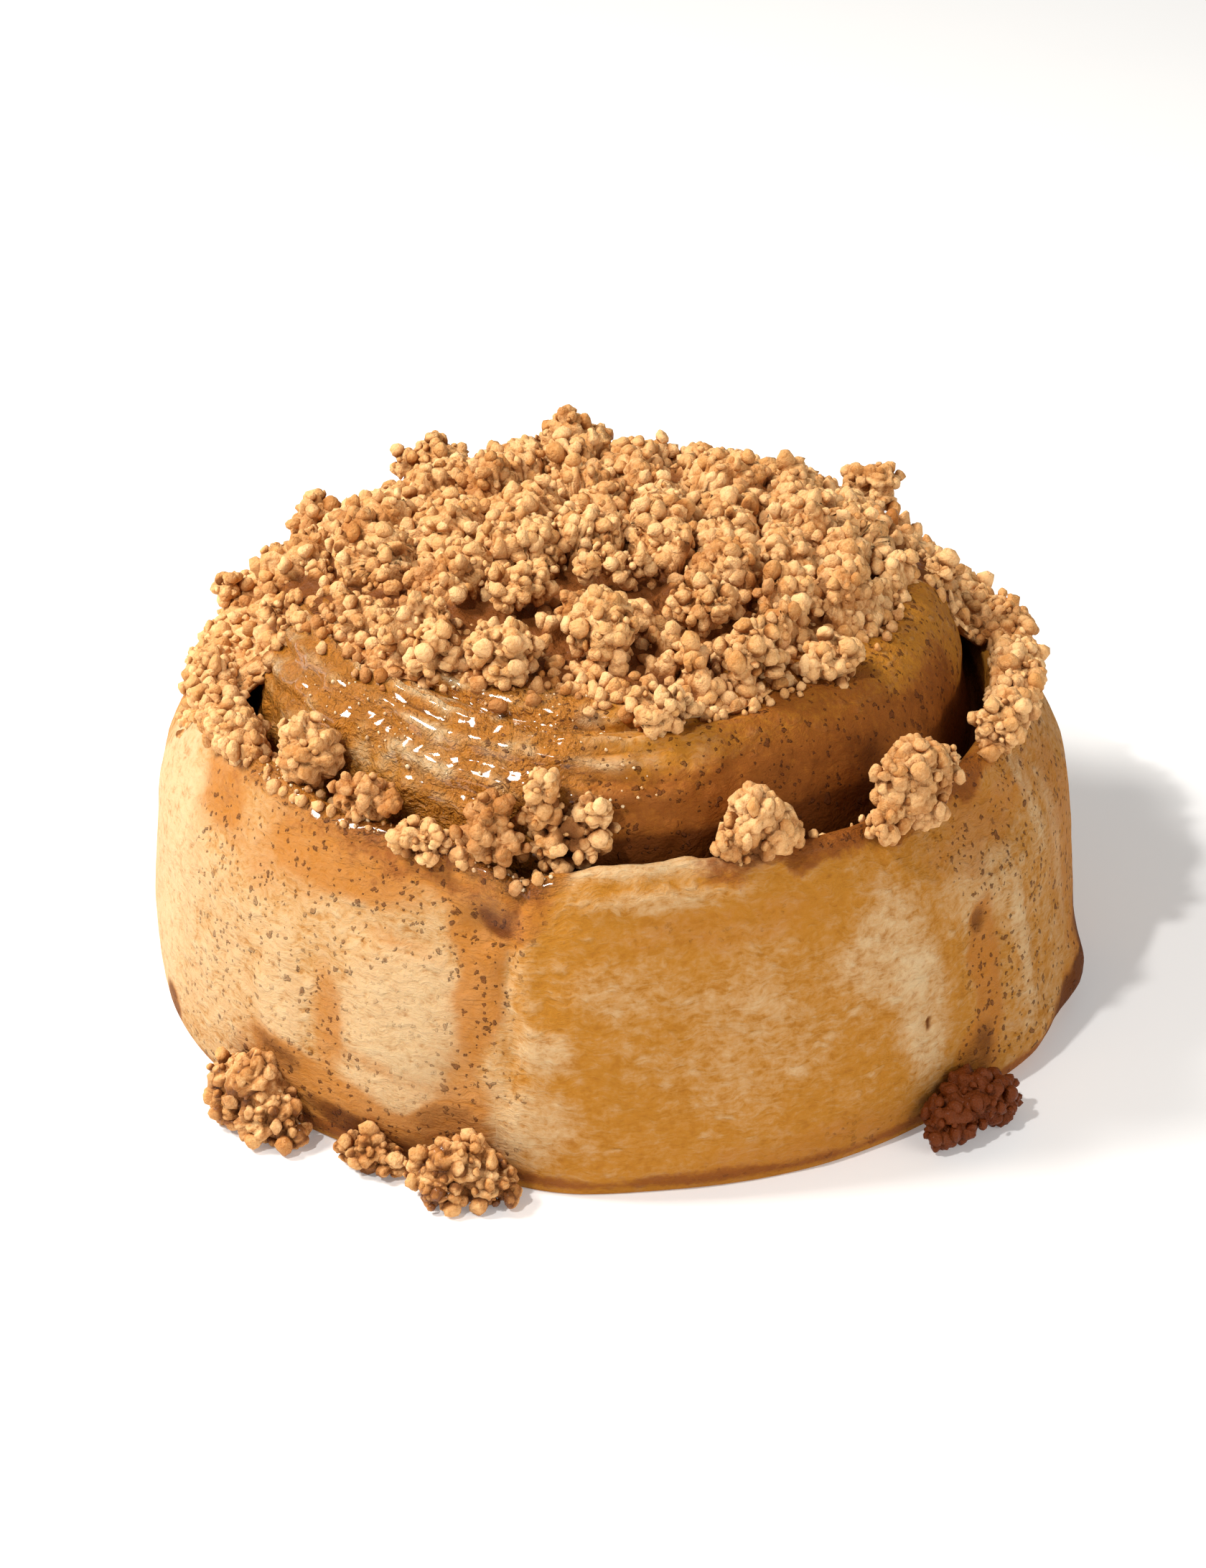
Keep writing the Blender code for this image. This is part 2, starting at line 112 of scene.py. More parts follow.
@dataclass(frozen=True)
class Field:
    """A random field over space, the same on every run.

    Attributes:
        size: distance between the field's grid points, in millimetres.
        seed: number that picks one field among many.
    """

    size: float
    seed: int = 0

    def _random(self, cell: Array, channel: int) -> Array:
        """A random number from 0 to 1 for each whole-numbered cell, by mixing its digits."""
        mixed = cell[..., 0] * 73856093 ^ cell[..., 1] * 19349663 ^ cell[..., 2] * 83492791
        mixed = (mixed ^ (self.seed * 9176 + channel * 7919 + 17)) & 0xFFFFFFFF
        for multiplier in (0x45D9F3B, 0x119DE1F3):
            mixed = ((mixed ^ (mixed >> 16)) * multiplier) & 0xFFFFFFFF
        return ((mixed ^ (mixed >> 16)) & 0xFFFFFF) / float(0xFFFFFF)

    def smooth(self, points: Array) -> Array:
        """Random numbers at the corners of a cubic grid, blended smoothly between them.

        Args:
            points: places, in millimetres, with x, y and z last.

        Returns:
            The field at each place, from -1 to 1.
        """
        scaled = points / self.size
        cell = np.floor(scaled).astype(np.int64)
        share = scaled - cell
        share = share * share * (3.0 - 2.0 * share)
        total = np.zeros(points.shape[:-1])
        for corner in np.ndindex(2, 2, 2):
            step = np.array(corner)
            weight = np.prod(np.where(step == 1, share, 1.0 - share), axis=-1)
            total += weight * self._random(cell + step, 0)
        return total * 2.0 - 1.0

    def rough(self, points: Array, octaves: int = 3) -> Array:
        """The smooth field, plus half of one at half the size, and so on."""
        layers = [Field(self.size / 2**k, self.seed + k).smooth(points) / 2**k for k in range(octaves)]
        return sum(layers) / (2.0 - 0.5 ** (octaves - 1))

    def balls(self, points: Array) -> tuple[Array, Array, Array]:
        """Distances to the nearest and second nearest of one point scattered in each grid cell.

        Args:
            points: places, in millimetres, with x, y and z last.

        Returns:
            Nearest distance, second distance, both in grid cells, and a number for the nearest point.
        """
        scaled = points / self.size
        cell = np.floor(scaled).astype(np.int64)
        nearest = np.full(points.shape[:-1], 9.0)
        second = np.full(points.shape[:-1], 9.0)
        number = np.zeros(points.shape[:-1])
        for step in np.ndindex(3, 3, 3):
            other = cell + np.array(step) - 1
            place = np.stack([self._random(other, channel) for channel in (1, 2, 3)], -1)
            distance = np.linalg.norm(other + 0.15 + 0.7 * place - scaled, axis=-1)
            closer = distance < nearest
            second = np.where(closer, nearest, np.minimum(second, distance))
            number = np.where(closer, self._random(other, 4), number)
            nearest = np.minimum(nearest, distance)
        return nearest, second, number

    def knobs(self, points: Array) -> tuple[Array, Array, Array]:
        """Round knobs that have grown together.

        Args:
            points: places, in millimetres, with x, y and z last.

        Returns:
            The height of a half ball over each knob's middle, from 0 to 1, the strength of the seams
            between knobs, from 0 to 1, and a number for each knob.
        """
        nearest, second, number = self.balls(points)
        height = np.sqrt(np.clip(1.0 - (nearest / 0.62) ** 2, 0.0, 1.0))
        return height, 1.0 - np.clip((second - nearest) / 0.20, 0.0, 1.0), number


def soak_at(places: Array, level: float, swing: float = 0.6) -> Array:
    """How much glaze each place took up: a level plus a swing times slow noise, from 0 to 1."""
    return np.clip(level + swing * Field(5.0, 34).rough(places, 2), 0.0, 1.0)


@dataclass(frozen=True)
class Knobs:
    """Knobs of crumb that cover a skin, in two sizes.

    Attributes:
        sizes: distance between the knobs of each size.
        heights: how far each size stands out.
        sink: how far the skin between them lies back.
        seams: how dark the seams of each size are, from 0 to 1, as painted shade between the knobs.
    """

    sizes: tuple[float, float]
    heights: tuple[float, float]
    sink: float
    seams: tuple[float, float]

    def cover(self, points: Array, seed: int) -> tuple[Array, Array, Array]:
        """Lays the knobs over a skin.

        Args:
            points: places on the skin.
            seed: picks the random numbers.

        Returns:
            How far each point moves out, the strength of the seams, and a number for each large knob.
        """
        large, seam, number = Field(self.sizes[0], seed).knobs(points)
        small, small_seam, _ = Field(self.sizes[1], seed + 1).knobs(points)
        lift = self.heights[0] * large + self.heights[1] * small - self.sink
        return lift, np.maximum(self.seams[0] * seam, self.seams[1] * small_seam), number


# The last pair of numbers darkens the seams between knobs: painted shade.
LOBE_KNOBS = Knobs((1.6, 0.9), (1.10, 0.30), 0.80, (0.75, 0.45))
SHEET_KNOBS = Knobs((1.65, 0.95), (1.05, 0.32), 0.40, (0.80, 0.50))


@dataclass(frozen=True)
class CrumbSkin:
    """How the skin of a crumb is made.

    Attributes:
        rings: rows of points on each crumb.
        segments: points in a row.
        uneven: height of slow waves over it, as a share of its radius.
        nubs: height of the noise on it, in millimetres.
        knobby: whether knobs cover it, as on a lump of many crumbs.
    """

    rings: int
    segments: int
    uneven: float
    nubs: float
    knobby: bool = False


LOBE_SKIN = CrumbSkin(18, 26, 0.06, 0.25, knobby=True)
NEAR_LOBE_SKIN = CrumbSkin(26, 36, 0.06, 0.25, knobby=True)
CRUMB_SKIN = CrumbSkin(5, 8, 0.18, 0.16)
GRAIN_SKIN = CrumbSkin(5, 8, 0.24, 0.20)
STREWN_SKIN = CrumbSkin(4, 7, 0.17, 0.10)
SUGAR_SKIN = CrumbSkin(4, 6, 0.20, 0.0)


@dataclass
class Surface:
    """Points and faces of one mesh, in millimetres, with named numbers on its points.

    Attributes:
        points: one row of x, y and z for each point.
        faces: four point numbers for each face; a triangle repeats its last one.
        marks: named numbers, one for each point.
        uv: two numbers for each face corner, or nothing.
    """

    points: Array
    faces: Array
    marks: dict[str, Array] = field(default_factory=dict)
    uv: Array | None = None

    @staticmethod
    def joined(parts: list["Surface"]) -> "Surface":
        """All the parts as one surface, their face numbers shifted by the points before them."""
        starts = np.cumsum([0] + [len(part.points) for part in parts[:-1]])
        faces = np.concatenate([part.faces + start for part, start in zip(parts, starts)])
        marks = {name: np.concatenate([part.marks[name] for part in parts]) for name in parts[0].marks}
        return Surface(np.concatenate([part.points for part in parts]), faces, marks)

    def build(self, name: str) -> bpy.types.Object:
        """Puts the surface into the scene as a smooth mesh object at the origin.

        Args:
            name: name of the object.

        Returns:
            The new object.
        """
        mesh = bpy.data.meshes.new(name)
        triangle = self.faces[:, 2] == self.faces[:, 3]
        sides = np.where(triangle, 3, 4)
        starts = np.concatenate([[0], np.cumsum(sides)[:-1]])
        keep = np.ones(self.faces.shape, bool)
        keep[triangle, 3] = False
        corners = self.faces[keep].astype(np.int32)
        mesh.vertices.add(len(self.points))
        mesh.vertices.foreach_set("co", (self.points * MM).astype(np.float32).ravel())
        mesh.loops.add(len(corners))
        mesh.loops.foreach_set("vertex_index", corners)
        mesh.polygons.add(len(self.faces))
        mesh.polygons.foreach_set("loop_start", starts.astype(np.int32))
        mesh.polygons.foreach_set("use_smooth", np.ones(len(self.faces), bool))
        mesh.update(calc_edges=True)
        mesh.validate()
        for mark, numbers in self.marks.items():
            layer = mesh.attributes.new(mark, "FLOAT", "POINT")
            layer.data.foreach_set("value", numbers.astype(np.float32))
        if self.uv is not None:
            layer = mesh.uv_layers.new(name="skin")
            layer.data.foreach_set("uv", self.uv[keep].astype(np.float32).ravel())
        made = bpy.data.objects.new(name, mesh)
        bpy.context.scene.collection.objects.link(made)
        log.info("%s: %d triangles", name, int((sides - 2).sum()))
        return made


def ring_faces(rows: int, columns: int) -> Array:
    """Faces of a grid whose rows are closed rings, with a point before and a point after the grid.

    Args:
        rows: number of rings.
        columns: points in each ring.

    Returns:
        Four point numbers for each face; the caps are fans of triangles.
    """
    row, column = np.meshgrid(np.arange(rows - 1), np.arange(columns), indexing="ij")
    after = (column + 1) % columns
    grid = np.stack([row * columns + column, row * columns + after], -1)
    grid = np.concatenate([grid, grid[..., ::-1] + columns], -1).reshape(-1, 4)
    ring = np.arange(columns)
    following = (ring + 1) % columns
    low, high = np.full(columns, rows * columns), np.full(columns, rows * columns + 1)
    last = (rows - 1) * columns
    first_cap = np.stack([following, ring, low, low], -1)
    last_cap = np.stack([last + ring, last + following, high, high], -1)
    return np.concatenate([grid, first_cap, last_cap])


def grid_normals(grid: Array) -> Array:
    """Directions square to a grid of rings: the cross product of its two central differences."""
    around = np.roll(grid, -1, axis=1) - np.roll(grid, 1, axis=1)
    along = np.gradient(grid, axis=0)
    return unit(np.cross(around, along))


@dataclass
class RollShape:
    """The form of the dough: a section of control rows that changes with the angle.

    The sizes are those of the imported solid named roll, which this surface follows.
    """

    wall_radius: float = 50.0
    rim_height: float = 34.2
    coil_height: float = 43.4
    dome_height: float = 47.8
    gap_radius: float = 38.2
    gap_offset: float = 4.0
    crease_step: float = 8.0
    seam_angle: float = 257.5

    def wall(self, theta: Array) -> Array:
        """Outer radius: slow waves, and a lap where the end of the strip is stuck on."""
        turn = np.radians(theta)
        waves = 0.15 * np.sin(2 * turn + 0.6) + 0.2 * np.sin(3 * turn + 2.0) + 0.12 * np.sin(7 * turn)
        lap = 0.8 * bump(theta, self.seam_angle + 7, 6) - 0.6 * bump(theta, self.seam_angle - 7, 6)
        return self.wall_radius + waves + lap + 0.9 * bump(theta, 294, 14)

    def rim(self, theta: Array) -> Array:
        """Height of the rim's crest: highest at the front, with a dip at the seam."""
        turn = np.radians(theta)
        tilt = 1.3 * np.cos(turn - math.radians(270))
        waves = 0.3 * np.sin(3 * turn) + 0.2 * np.sin(5 * turn + 1.0)
        return self.rim_height + tilt + waves - 1.9 * bump(theta, self.seam_angle + 1, 4)

    def gap(self, theta: Array) -> Array:
        """Radius of the groove between the outer wrap and the coil."""
        forward = self.gap_offset * bump(theta, 272, 36)
        return self.gap_radius + forward + 1.2 * bump(theta, self.seam_angle + 4, 8) + 0.8 * bump(theta, 90, 60)

    def gap_depth(self, theta: Array) -> Array:
        """Depth of the groove: open at the front right and front left, nearly shut elsewhere."""
        open_right = 7.5 * bump(theta, 296, 13) + 5.0 * bump(theta, 336, 13)
        open_left = 6.5 * bump(theta, 227, 7) + 2.0 * bump(theta, 198, 10)
        return 2.6 + open_right + open_left

    def gap_half_width(self, theta: Array) -> Array:
        """Half the groove's width at the rim's height."""
        return 0.9 + 0.8 * bump(theta, 299, 12) + 0.7 * bump(theta, 228, 6) + 0.6 * bump(theta, 340, 12)

    def coil(self, theta: Array) -> Array:
        """Height of the coil's shoulder, highest at the front."""
        turn = np.radians(theta)
        return self.coil_height + 1.1 * np.cos(turn - math.radians(268)) + 0.3 * np.sin(3 * turn + 0.5)

    def crease_depth(self, theta: Array) -> Array:
        """Depth of the crease of the next turn inwards, which shows at the front left."""
        return 1.3 * ramp(theta, 190, 215) * (1.0 - ramp(theta, 285, 310))

    def foot(self, theta: Array) -> Array:
        """How far drips of glaze that baked hard stand out at the foot."""
        return 2.0 * bump(theta, 345, 4) + 1.9 * bump(theta, 329, 9) + 0.8 * bump(theta, 205, 6)

    def crease_radius(self, theta: Array) -> Array:
        """Radius of the crease of the next turn inwards."""
        return self.gap(theta) - self.gap_half_width(theta) - self.crease_step

    def rows(self, theta: Array) -> Array:
        """Control rows from the middle of the underside, up the wall and over the coil.

        Args:
            theta: angles.

        Returns:
            Radius and height of each row at each angle, shaped rows, 2, angles.
        """
        wall, crest = self.wall(theta), self.rim(theta)
        gap, wide, deep = self.gap(theta), self.gap_half_width(theta), self.gap_depth(theta)
        coil, foot = self.coil(theta), self.foot(theta)
        rim, inner, crease = wall - gap - wide, gap - wide, self.crease_radius(theta)
        level = np.ones_like(theta)
        return np.array([
            (0.3 * wall, 0.0 * level),
            (0.7 * wall, 0.0 * level),
            (wall - 2.4, 0.0 * level),
            (wall - 0.7 + 0.8 * foot, 0.9 * level),
            (wall + foot, 4.2 * level),
            (wall + 0.2 + 0.3 * foot, 9.5 * level),
            (wall - 0.5, 17.0 * level),
            (wall - 1.6, 24.0 * level),
            (wall - 0.44 * rim, crest - 4.6),
            (wall - 0.62 * rim, crest - 1.5),
            (wall - 0.80 * rim, crest),
            (wall - 0.95 * rim, crest - 0.6),
            (wall - rim, crest - 2.2),
            (gap, crest - 1.0 - deep),
            (inner, crest - 1.8),
            (inner - 0.5, crest + 2.2),
            (inner - 1.8, 0.42 * crest + 0.58 * coil),
            (inner - 3.8, coil - 1.1),
            (crease + 2.2, coil + 0.2),
            (crease, coil + 0.7 - self.crease_depth(theta)),
            (crease - 2.2, coil + 1.4),
            (0.46 * self.wall_radius * level, coil + 0.60 * (self.dome_height - coil)),
            (0.24 * self.wall_radius * level, coil + 0.90 * (self.dome_height - coil)),
            (0.02 * self.wall_radius * level, self.dome_height * level),
        ])

    def top(self, radius: Array, theta: Array) -> Array:
        """Height of the dough's upper side, read between control rows, with the groove bridged.

        Args:
            radius: distances from the axis.
            theta: angles, as many as the distances.

        Returns:
            The height at each place.
        """
        rows = np.delete(self.rows(theta), (12, 13, 14), axis=0)[6:, :, :]
        radii, heights = rows[::-1, 0], rows[::-1, 1]
        below = np.clip((radii < radius).sum(axis=0) - 1, 0, len(radii) - 2)
        pick = np.arange(len(theta))
        low_r, high_r = radii[below, pick], radii[below + 1, pick]
        low_z, high_z = heights[below, pick], heights[below + 1, pick]
        share = np.clip((radius - low_r) / np.maximum(high_r - low_r, 1e-6), 0.0, 1.0)
        return low_z + share * (high_z - low_z)


@dataclass(frozen=True)
class Balls:
    """Round crumbs of any number, each a little out of true.

    Attributes:
        centres: one row of x, y and z for each crumb.
        radii: one number for each.
        outward: the direction away from what each lies on.
        tint: a number from 0 to 1 for each, which picks its colour.
        soak: a number from 0 to 1 for each, how much glaze it took up.
    """

    centres: Array
    radii: Array
    outward: Array
    tint: Array
    soak: Array

    @staticmethod
    def joined(groups: list["Balls"]) -> "Balls":
        """All groups as one."""
        columns = ("centres", "radii", "outward", "tint", "soak")
        return Balls(*(np.concatenate([getattr(group, name) for group in groups]) for name in columns))

    def pick(self, chosen: Array) -> "Balls":
        """The crumbs that a mask or a list of numbers chooses."""
        return Balls(*(part[chosen] for part in (self.centres, self.radii, self.outward, self.tint, self.soak)))

    def _neighbours(self, others: "Balls", count: int) -> tuple[Array, Array]:
        """Middles and radii of the other crumbs nearest to each crumb, itself left out."""
        count = min(count, len(others.radii))
        chosen = []
        for start in range(0, len(self.radii), 400):
            apart = self.centres[start : start + 400, None] - others.centres[None]
            distance = np.sqrt((apart**2).sum(axis=-1))
            room = np.where(distance < 1e-6, 99.0, distance - others.radii)
            chosen.append(np.argpartition(room, count - 1, axis=1)[:, :count])
        nearest = np.concatenate(chosen)
        return others.centres[nearest], others.radii[nearest]

    def surface(self, skin: CrumbSkin, others: "Balls", seed: int) -> Surface:
        """Every crumb as a closed skin: its radius times 1 plus slow waves over direction, plus noise.

        Args:
            skin: how the skin is made.
            others: crumbs whose contact darkens it, as painted shade.
            seed: picks the random numbers.

        Returns:
            The surface, with marks crevice, tint and soak.
        """
        rng = np.random.default_rng(seed)
        count = len(self.radii)
        steep = (np.arange(skin.rings) + 0.6) / (skin.rings + 0.2) * math.pi
        turn = np.arange(skin.segments) / skin.segments * math.tau
        steep, turn = np.meshgrid(steep, turn, indexing="ij")
        sphere = [np.sin(steep) * np.cos(turn), np.sin(steep) * np.sin(turn), -np.cos(steep)]
        ways = np.concatenate([np.stack(sphere, -1).reshape(-1, 3), [[0, 0, -1], [0, 0, 1]]])
        stretch = rng.uniform(0.78, 1.22, (count, 1, 3))
        wave_ways = rng.normal(scale=2.1, size=(count, 4, 3))
        wave_starts = rng.uniform(0.0, math.tau, (count, 4, 1))
        waves = np.cos(wave_ways @ ways.T + wave_starts).sum(axis=1) * skin.uneven / 2.0
        offsets = ways * stretch * (self.radii[:, None] * (1.0 + waves))[..., None]
        points = self.centres[:, None] + offsets
        relief = Field(1.5, seed).rough(points, 2) + 0.5 * Field(0.6, seed + 7).smooth(points)
        points = points + ways * (relief * skin.nubs)[..., None]
        shape = (count, len(ways))
        tint, dent = np.broadcast_to(self.tint[:, None], shape), np.zeros(shape)
        if skin.knobby:
            lift, dent, number = LOBE_KNOBS.cover(points, seed + 3)
            points = points + ways * lift[..., None]
            tint = 0.4 * tint + 0.6 * number
        # Painted shade: each crumb is marked darker where it touches its neighbours and in its knob seams.
        near, near_radii = self._neighbours(others, 9)
        gap = np.linalg.norm(points[:, :, None] - near[:, None], axis=-1) - near_radii[:, None]
        seam = np.exp(-np.maximum(gap.min(axis=-1), 0.0) / 0.20)
        seam = np.maximum(seam * (0.45 if skin.knobby else 0.85), dent)
        facing = (ways[None] * self.outward[:, None]).sum(axis=-1)
        # Painted shade: the side of each crumb that faces the ground it lies on is marked darker.
        under = np.clip((0.15 - facing) / 0.9, 0.0, 1.0)
        marks = {
            "crevice": np.maximum(seam, under * 0.9).ravel(),
            "tint": tint.ravel(),
            "soak": np.broadcast_to(self.soak[:, None], shape).ravel(),
        }
        faces = ring_faces(skin.rings, skin.segments)
        every = (faces[None] + (np.arange(count) * len(ways))[:, None, None]).reshape(-1, 4)
        return Surface(points.reshape(-1, 3), every, marks)


@dataclass(frozen=True)
class Ground:
    """Places that crumbs can lie on.

    Attributes:
        points: one row of x, y and z for each place.
        outward: the direction away from the ground at each.
        soak: how wet with glaze each place is, from 0 to 1.
    """

    points: Array
    outward: Array
    soak: Array

    @staticmethod
    def of_grid(grid: Array, normals: Array, wanted: Array, draws: int, rng: np.random.Generator) -> "Ground":
        """Random places on a grid of rings, as many to a square millimetre everywhere.

        Args:
            grid: the rings' points.
            normals: their directions outwards.
            wanted: a weight from 0 to 1 for each point.
            draws: how many places are drawn.
            rng: source of random numbers.

        Returns:
            The places.
        """
        columns = grid.shape[1]
        around = np.linalg.norm(np.roll(grid, -1, axis=1) - grid, axis=-1)[:-1]
        along = np.linalg.norm(np.diff(grid, axis=0), axis=-1)
        weight = (around * along * wanted[:-1]).ravel()
        spot = rng.choice(len(weight), size=draws, p=weight / weight.sum())
        row, column = np.divmod(spot, columns)
        u, v = rng.uniform(size=(2, draws, 1))
        after = (column + 1) % columns
        low = grid[row, column] * (1 - u) + grid[row, after] * u
        high = grid[row + 1, column] * (1 - u) + grid[row + 1, after] * u
        places = low * (1 - v) + high * v
        return Ground(places, normals[row, column], soak_at(places, 0.35, 0.7))

    def strew(self, low: float, high: float, slope: float, gap: float, sink: float, seed: int) -> Balls:
        """Drops crumbs on the places, the largest first, and keeps those with room.

        Args:
            low: smallest diameter.
            high: largest diameter.
            slope: power on the random draw; above 1 makes small crumbs commoner.
            gap: share of two crumbs' mean diameter that their middles keep apart.
            sink: share of its radius that a crumb sinks in.
            seed: picks the random numbers.

        Returns:
            The crumbs kept.
        """
        rng = np.random.default_rng(seed)
        count = len(self.points)
        radii = 0.5 * np.sort(low + (high - low) * rng.uniform(size=count) ** slope)[::-1]
        kept = np.zeros(count, int)
        total = 0
        for k in range(count):
            before = kept[:total]
            apart = ((self.points[before] - self.points[k]) ** 2).sum(axis=1)
            if total == 0 or np.all(apart > (gap * (radii[before] + radii[k])) ** 2):
                kept[total] = k
                total += 1
        kept = kept[:total]
        depth = radii[kept] * (1.0 - sink * rng.uniform(0.6, 1.4, total))
        centres = self.points[kept] + self.outward[kept] * depth[:, None]
        tint = rng.uniform(size=total)
        return Balls(centres, radii[kept], self.outward[kept], tint, self.soak[kept])


@dataclass(frozen=True)
class ClumpPlan:
    """Where one clump of streusel sits and how big it is.

    Attributes:
        angle: angle of its middle.
        radius: distance of its middle from the axis.
        height: height of its middle.
        width: size along the bun's edge.
        depth: size away from the axis.
        tall: size upwards.
        lobes: big round parts, each as along, outward, up and radius; random ones if there are none.
    """

    angle: float
    radius: float
    height: float
    width: float
    depth: float
    tall: float
    lobes: tuple[tuple[float, float, float, float], ...] = ()

    def middle(self) -> Array:
        """The clump's middle as x, y and z."""
        turn = math.radians(self.angle)
        return np.array([self.radius * math.cos(turn), self.radius * math.sin(turn), self.height])

    def axes(self) -> Array:
        """Unit directions along the edge, away from the axis and up."""
        turn = math.radians(self.angle)
        outward = [math.cos(turn), math.sin(turn), 0.0]
        return np.array([[-outward[1], outward[0], 0.0], outward, [0.0, 0.0, 1.0]])

    def core(self, rng: np.random.Generator) -> Balls:
        """The clump's lobes, as balls.

        Args:
            rng: source of random numbers.

        Returns:
            The lobes that the plan lists, or five at random that reach the plan's size.
        """
        if self.lobes:
            lobes = np.array(self.lobes)
            offsets, radii = lobes[:, :3], lobes[:, 3]
        else:
            half = 0.5 * np.array([self.width, self.depth, self.tall]) - 0.45
            k = np.arange(5)
            flat = np.sqrt(1.0 - (1.0 - (2.0 * k + 1.0) / 5.0) ** 2)
            turn = np.radians(k * GOLDEN_TURN + rng.uniform(0.0, 360.0))
            ways = np.stack([flat * np.cos(turn), flat * np.sin(turn), 1.0 - (2.0 * k + 1.0) / 5.0], -1)
            radii = half.min() * rng.uniform(0.48, 0.68, 5)
            offsets = ways * (half - radii[:, None]) * rng.uniform(0.80, 1.0, (5, 1))
            offsets = np.concatenate([offsets, [[0.0, 0.0, 0.0]]])
            radii = np.append(radii, 0.62 * half.min())
        centres = self.middle() + offsets @ self.axes()
        outward = unit(offsets @ self.axes() + np.array([0.0, 0.0, 0.8]))
        count = len(radii)
        soak = np.full(count, rng.uniform(0.1, 0.6))
        return Balls(centres, radii, outward, rng.uniform(0.2, 0.8, count), soak)


@dataclass(frozen=True)
class ClumpMaker:
    """Covers a clump's lobes with crumbs.

    Attributes:
        low: smallest crumb.
        high: largest crumb.
        sink: how deep the crumbs sit in the lobes, as a share of their radius.
        gap: how far apart they stay, as a share of their mean diameter.
        density: crumbs tried for each square millimetre.
    """

    low: float = 0.7
    high: float = 1.9
    sink: float = 1.15
    gap: float = 1.25
    density: float = 3.0

    def crumbs(self, core: Balls, seed: int) -> Balls:
        """Crumbs on the outside of the lobes, on places spread by the golden angle.

        Args:
            core: the lobes.
            seed: picks the random numbers.

        Returns:
            The crumbs.
        """
        rng = np.random.default_rng(seed)
        places, ways = [], []
        for centre, radius in zip(core.centres, core.radii):
            count = max(12, int(4.0 * math.pi * radius**2 * self.density))
            k = np.arange(count)
            level = 1.0 - (2.0 * k + 1.0) / count
            turn = np.radians(k * GOLDEN_TURN + rng.uniform(0.0, 360.0))
            flat = np.sqrt(1.0 - level**2)
            way = np.stack([flat * np.cos(turn), flat * np.sin(turn), level], -1)
            place = centre + way * radius
            apart = np.linalg.norm(place[:, None] - core.centres[None], axis=-1)
            free = (apart > core.radii * 0.97).all(axis=1)
            places.append(place[free])
            ways.append(way[free])
        order = rng.permutation(sum(len(place) for place in places))
        soak = np.full(len(order), core.soak[0])
        ground = Ground(np.concatenate(places)[order], np.concatenate(ways)[order], soak)
        return ground.strew(self.low, self.high, slope=3.4, gap=self.gap, sink=self.sink, seed=seed + 1)


@dataclass(frozen=True)
class Patch:
    """A soft-edged spot on the wall.

    Attributes:
        angle: angle of its middle.
        height: height of its middle.
        wide: half its width round the wall.
        tall: half its height.
        lean: how far it is turned, from level towards up.
        amount: its strength.
    """

    angle: float
    height: float
    wide: float
    tall: float
    lean: float = 0.0
    amount: float = 1.0

    def mask(self, theta: Array, height: Array, warp: Array) -> Array:
        """Its strength: full inside the turned ellipse, smoothly nothing outside, with a ragged edge.

        Args:
            theta: angles.
            height: heights.
            warp: a small number at each place that pushes the edge in or out.

        Returns:
            The strength at each place.
        """
        along = ((theta - self.angle + 180.0) % 360.0 - 180.0) * math.radians(50.0)
        up = height - self.height
        turn = math.radians(self.lean)
        u = along * math.cos(turn) + up * math.sin(turn)
        v = up * math.cos(turn) - along * math.sin(turn)
        away = np.sqrt((u / self.wide) ** 2 + (v / self.tall) ** 2) + warp
        share = np.clip((1.45 - away) / 0.95, 0.0, 1.0)
        return self.amount * share * share * (3.0 - 2.0 * share)


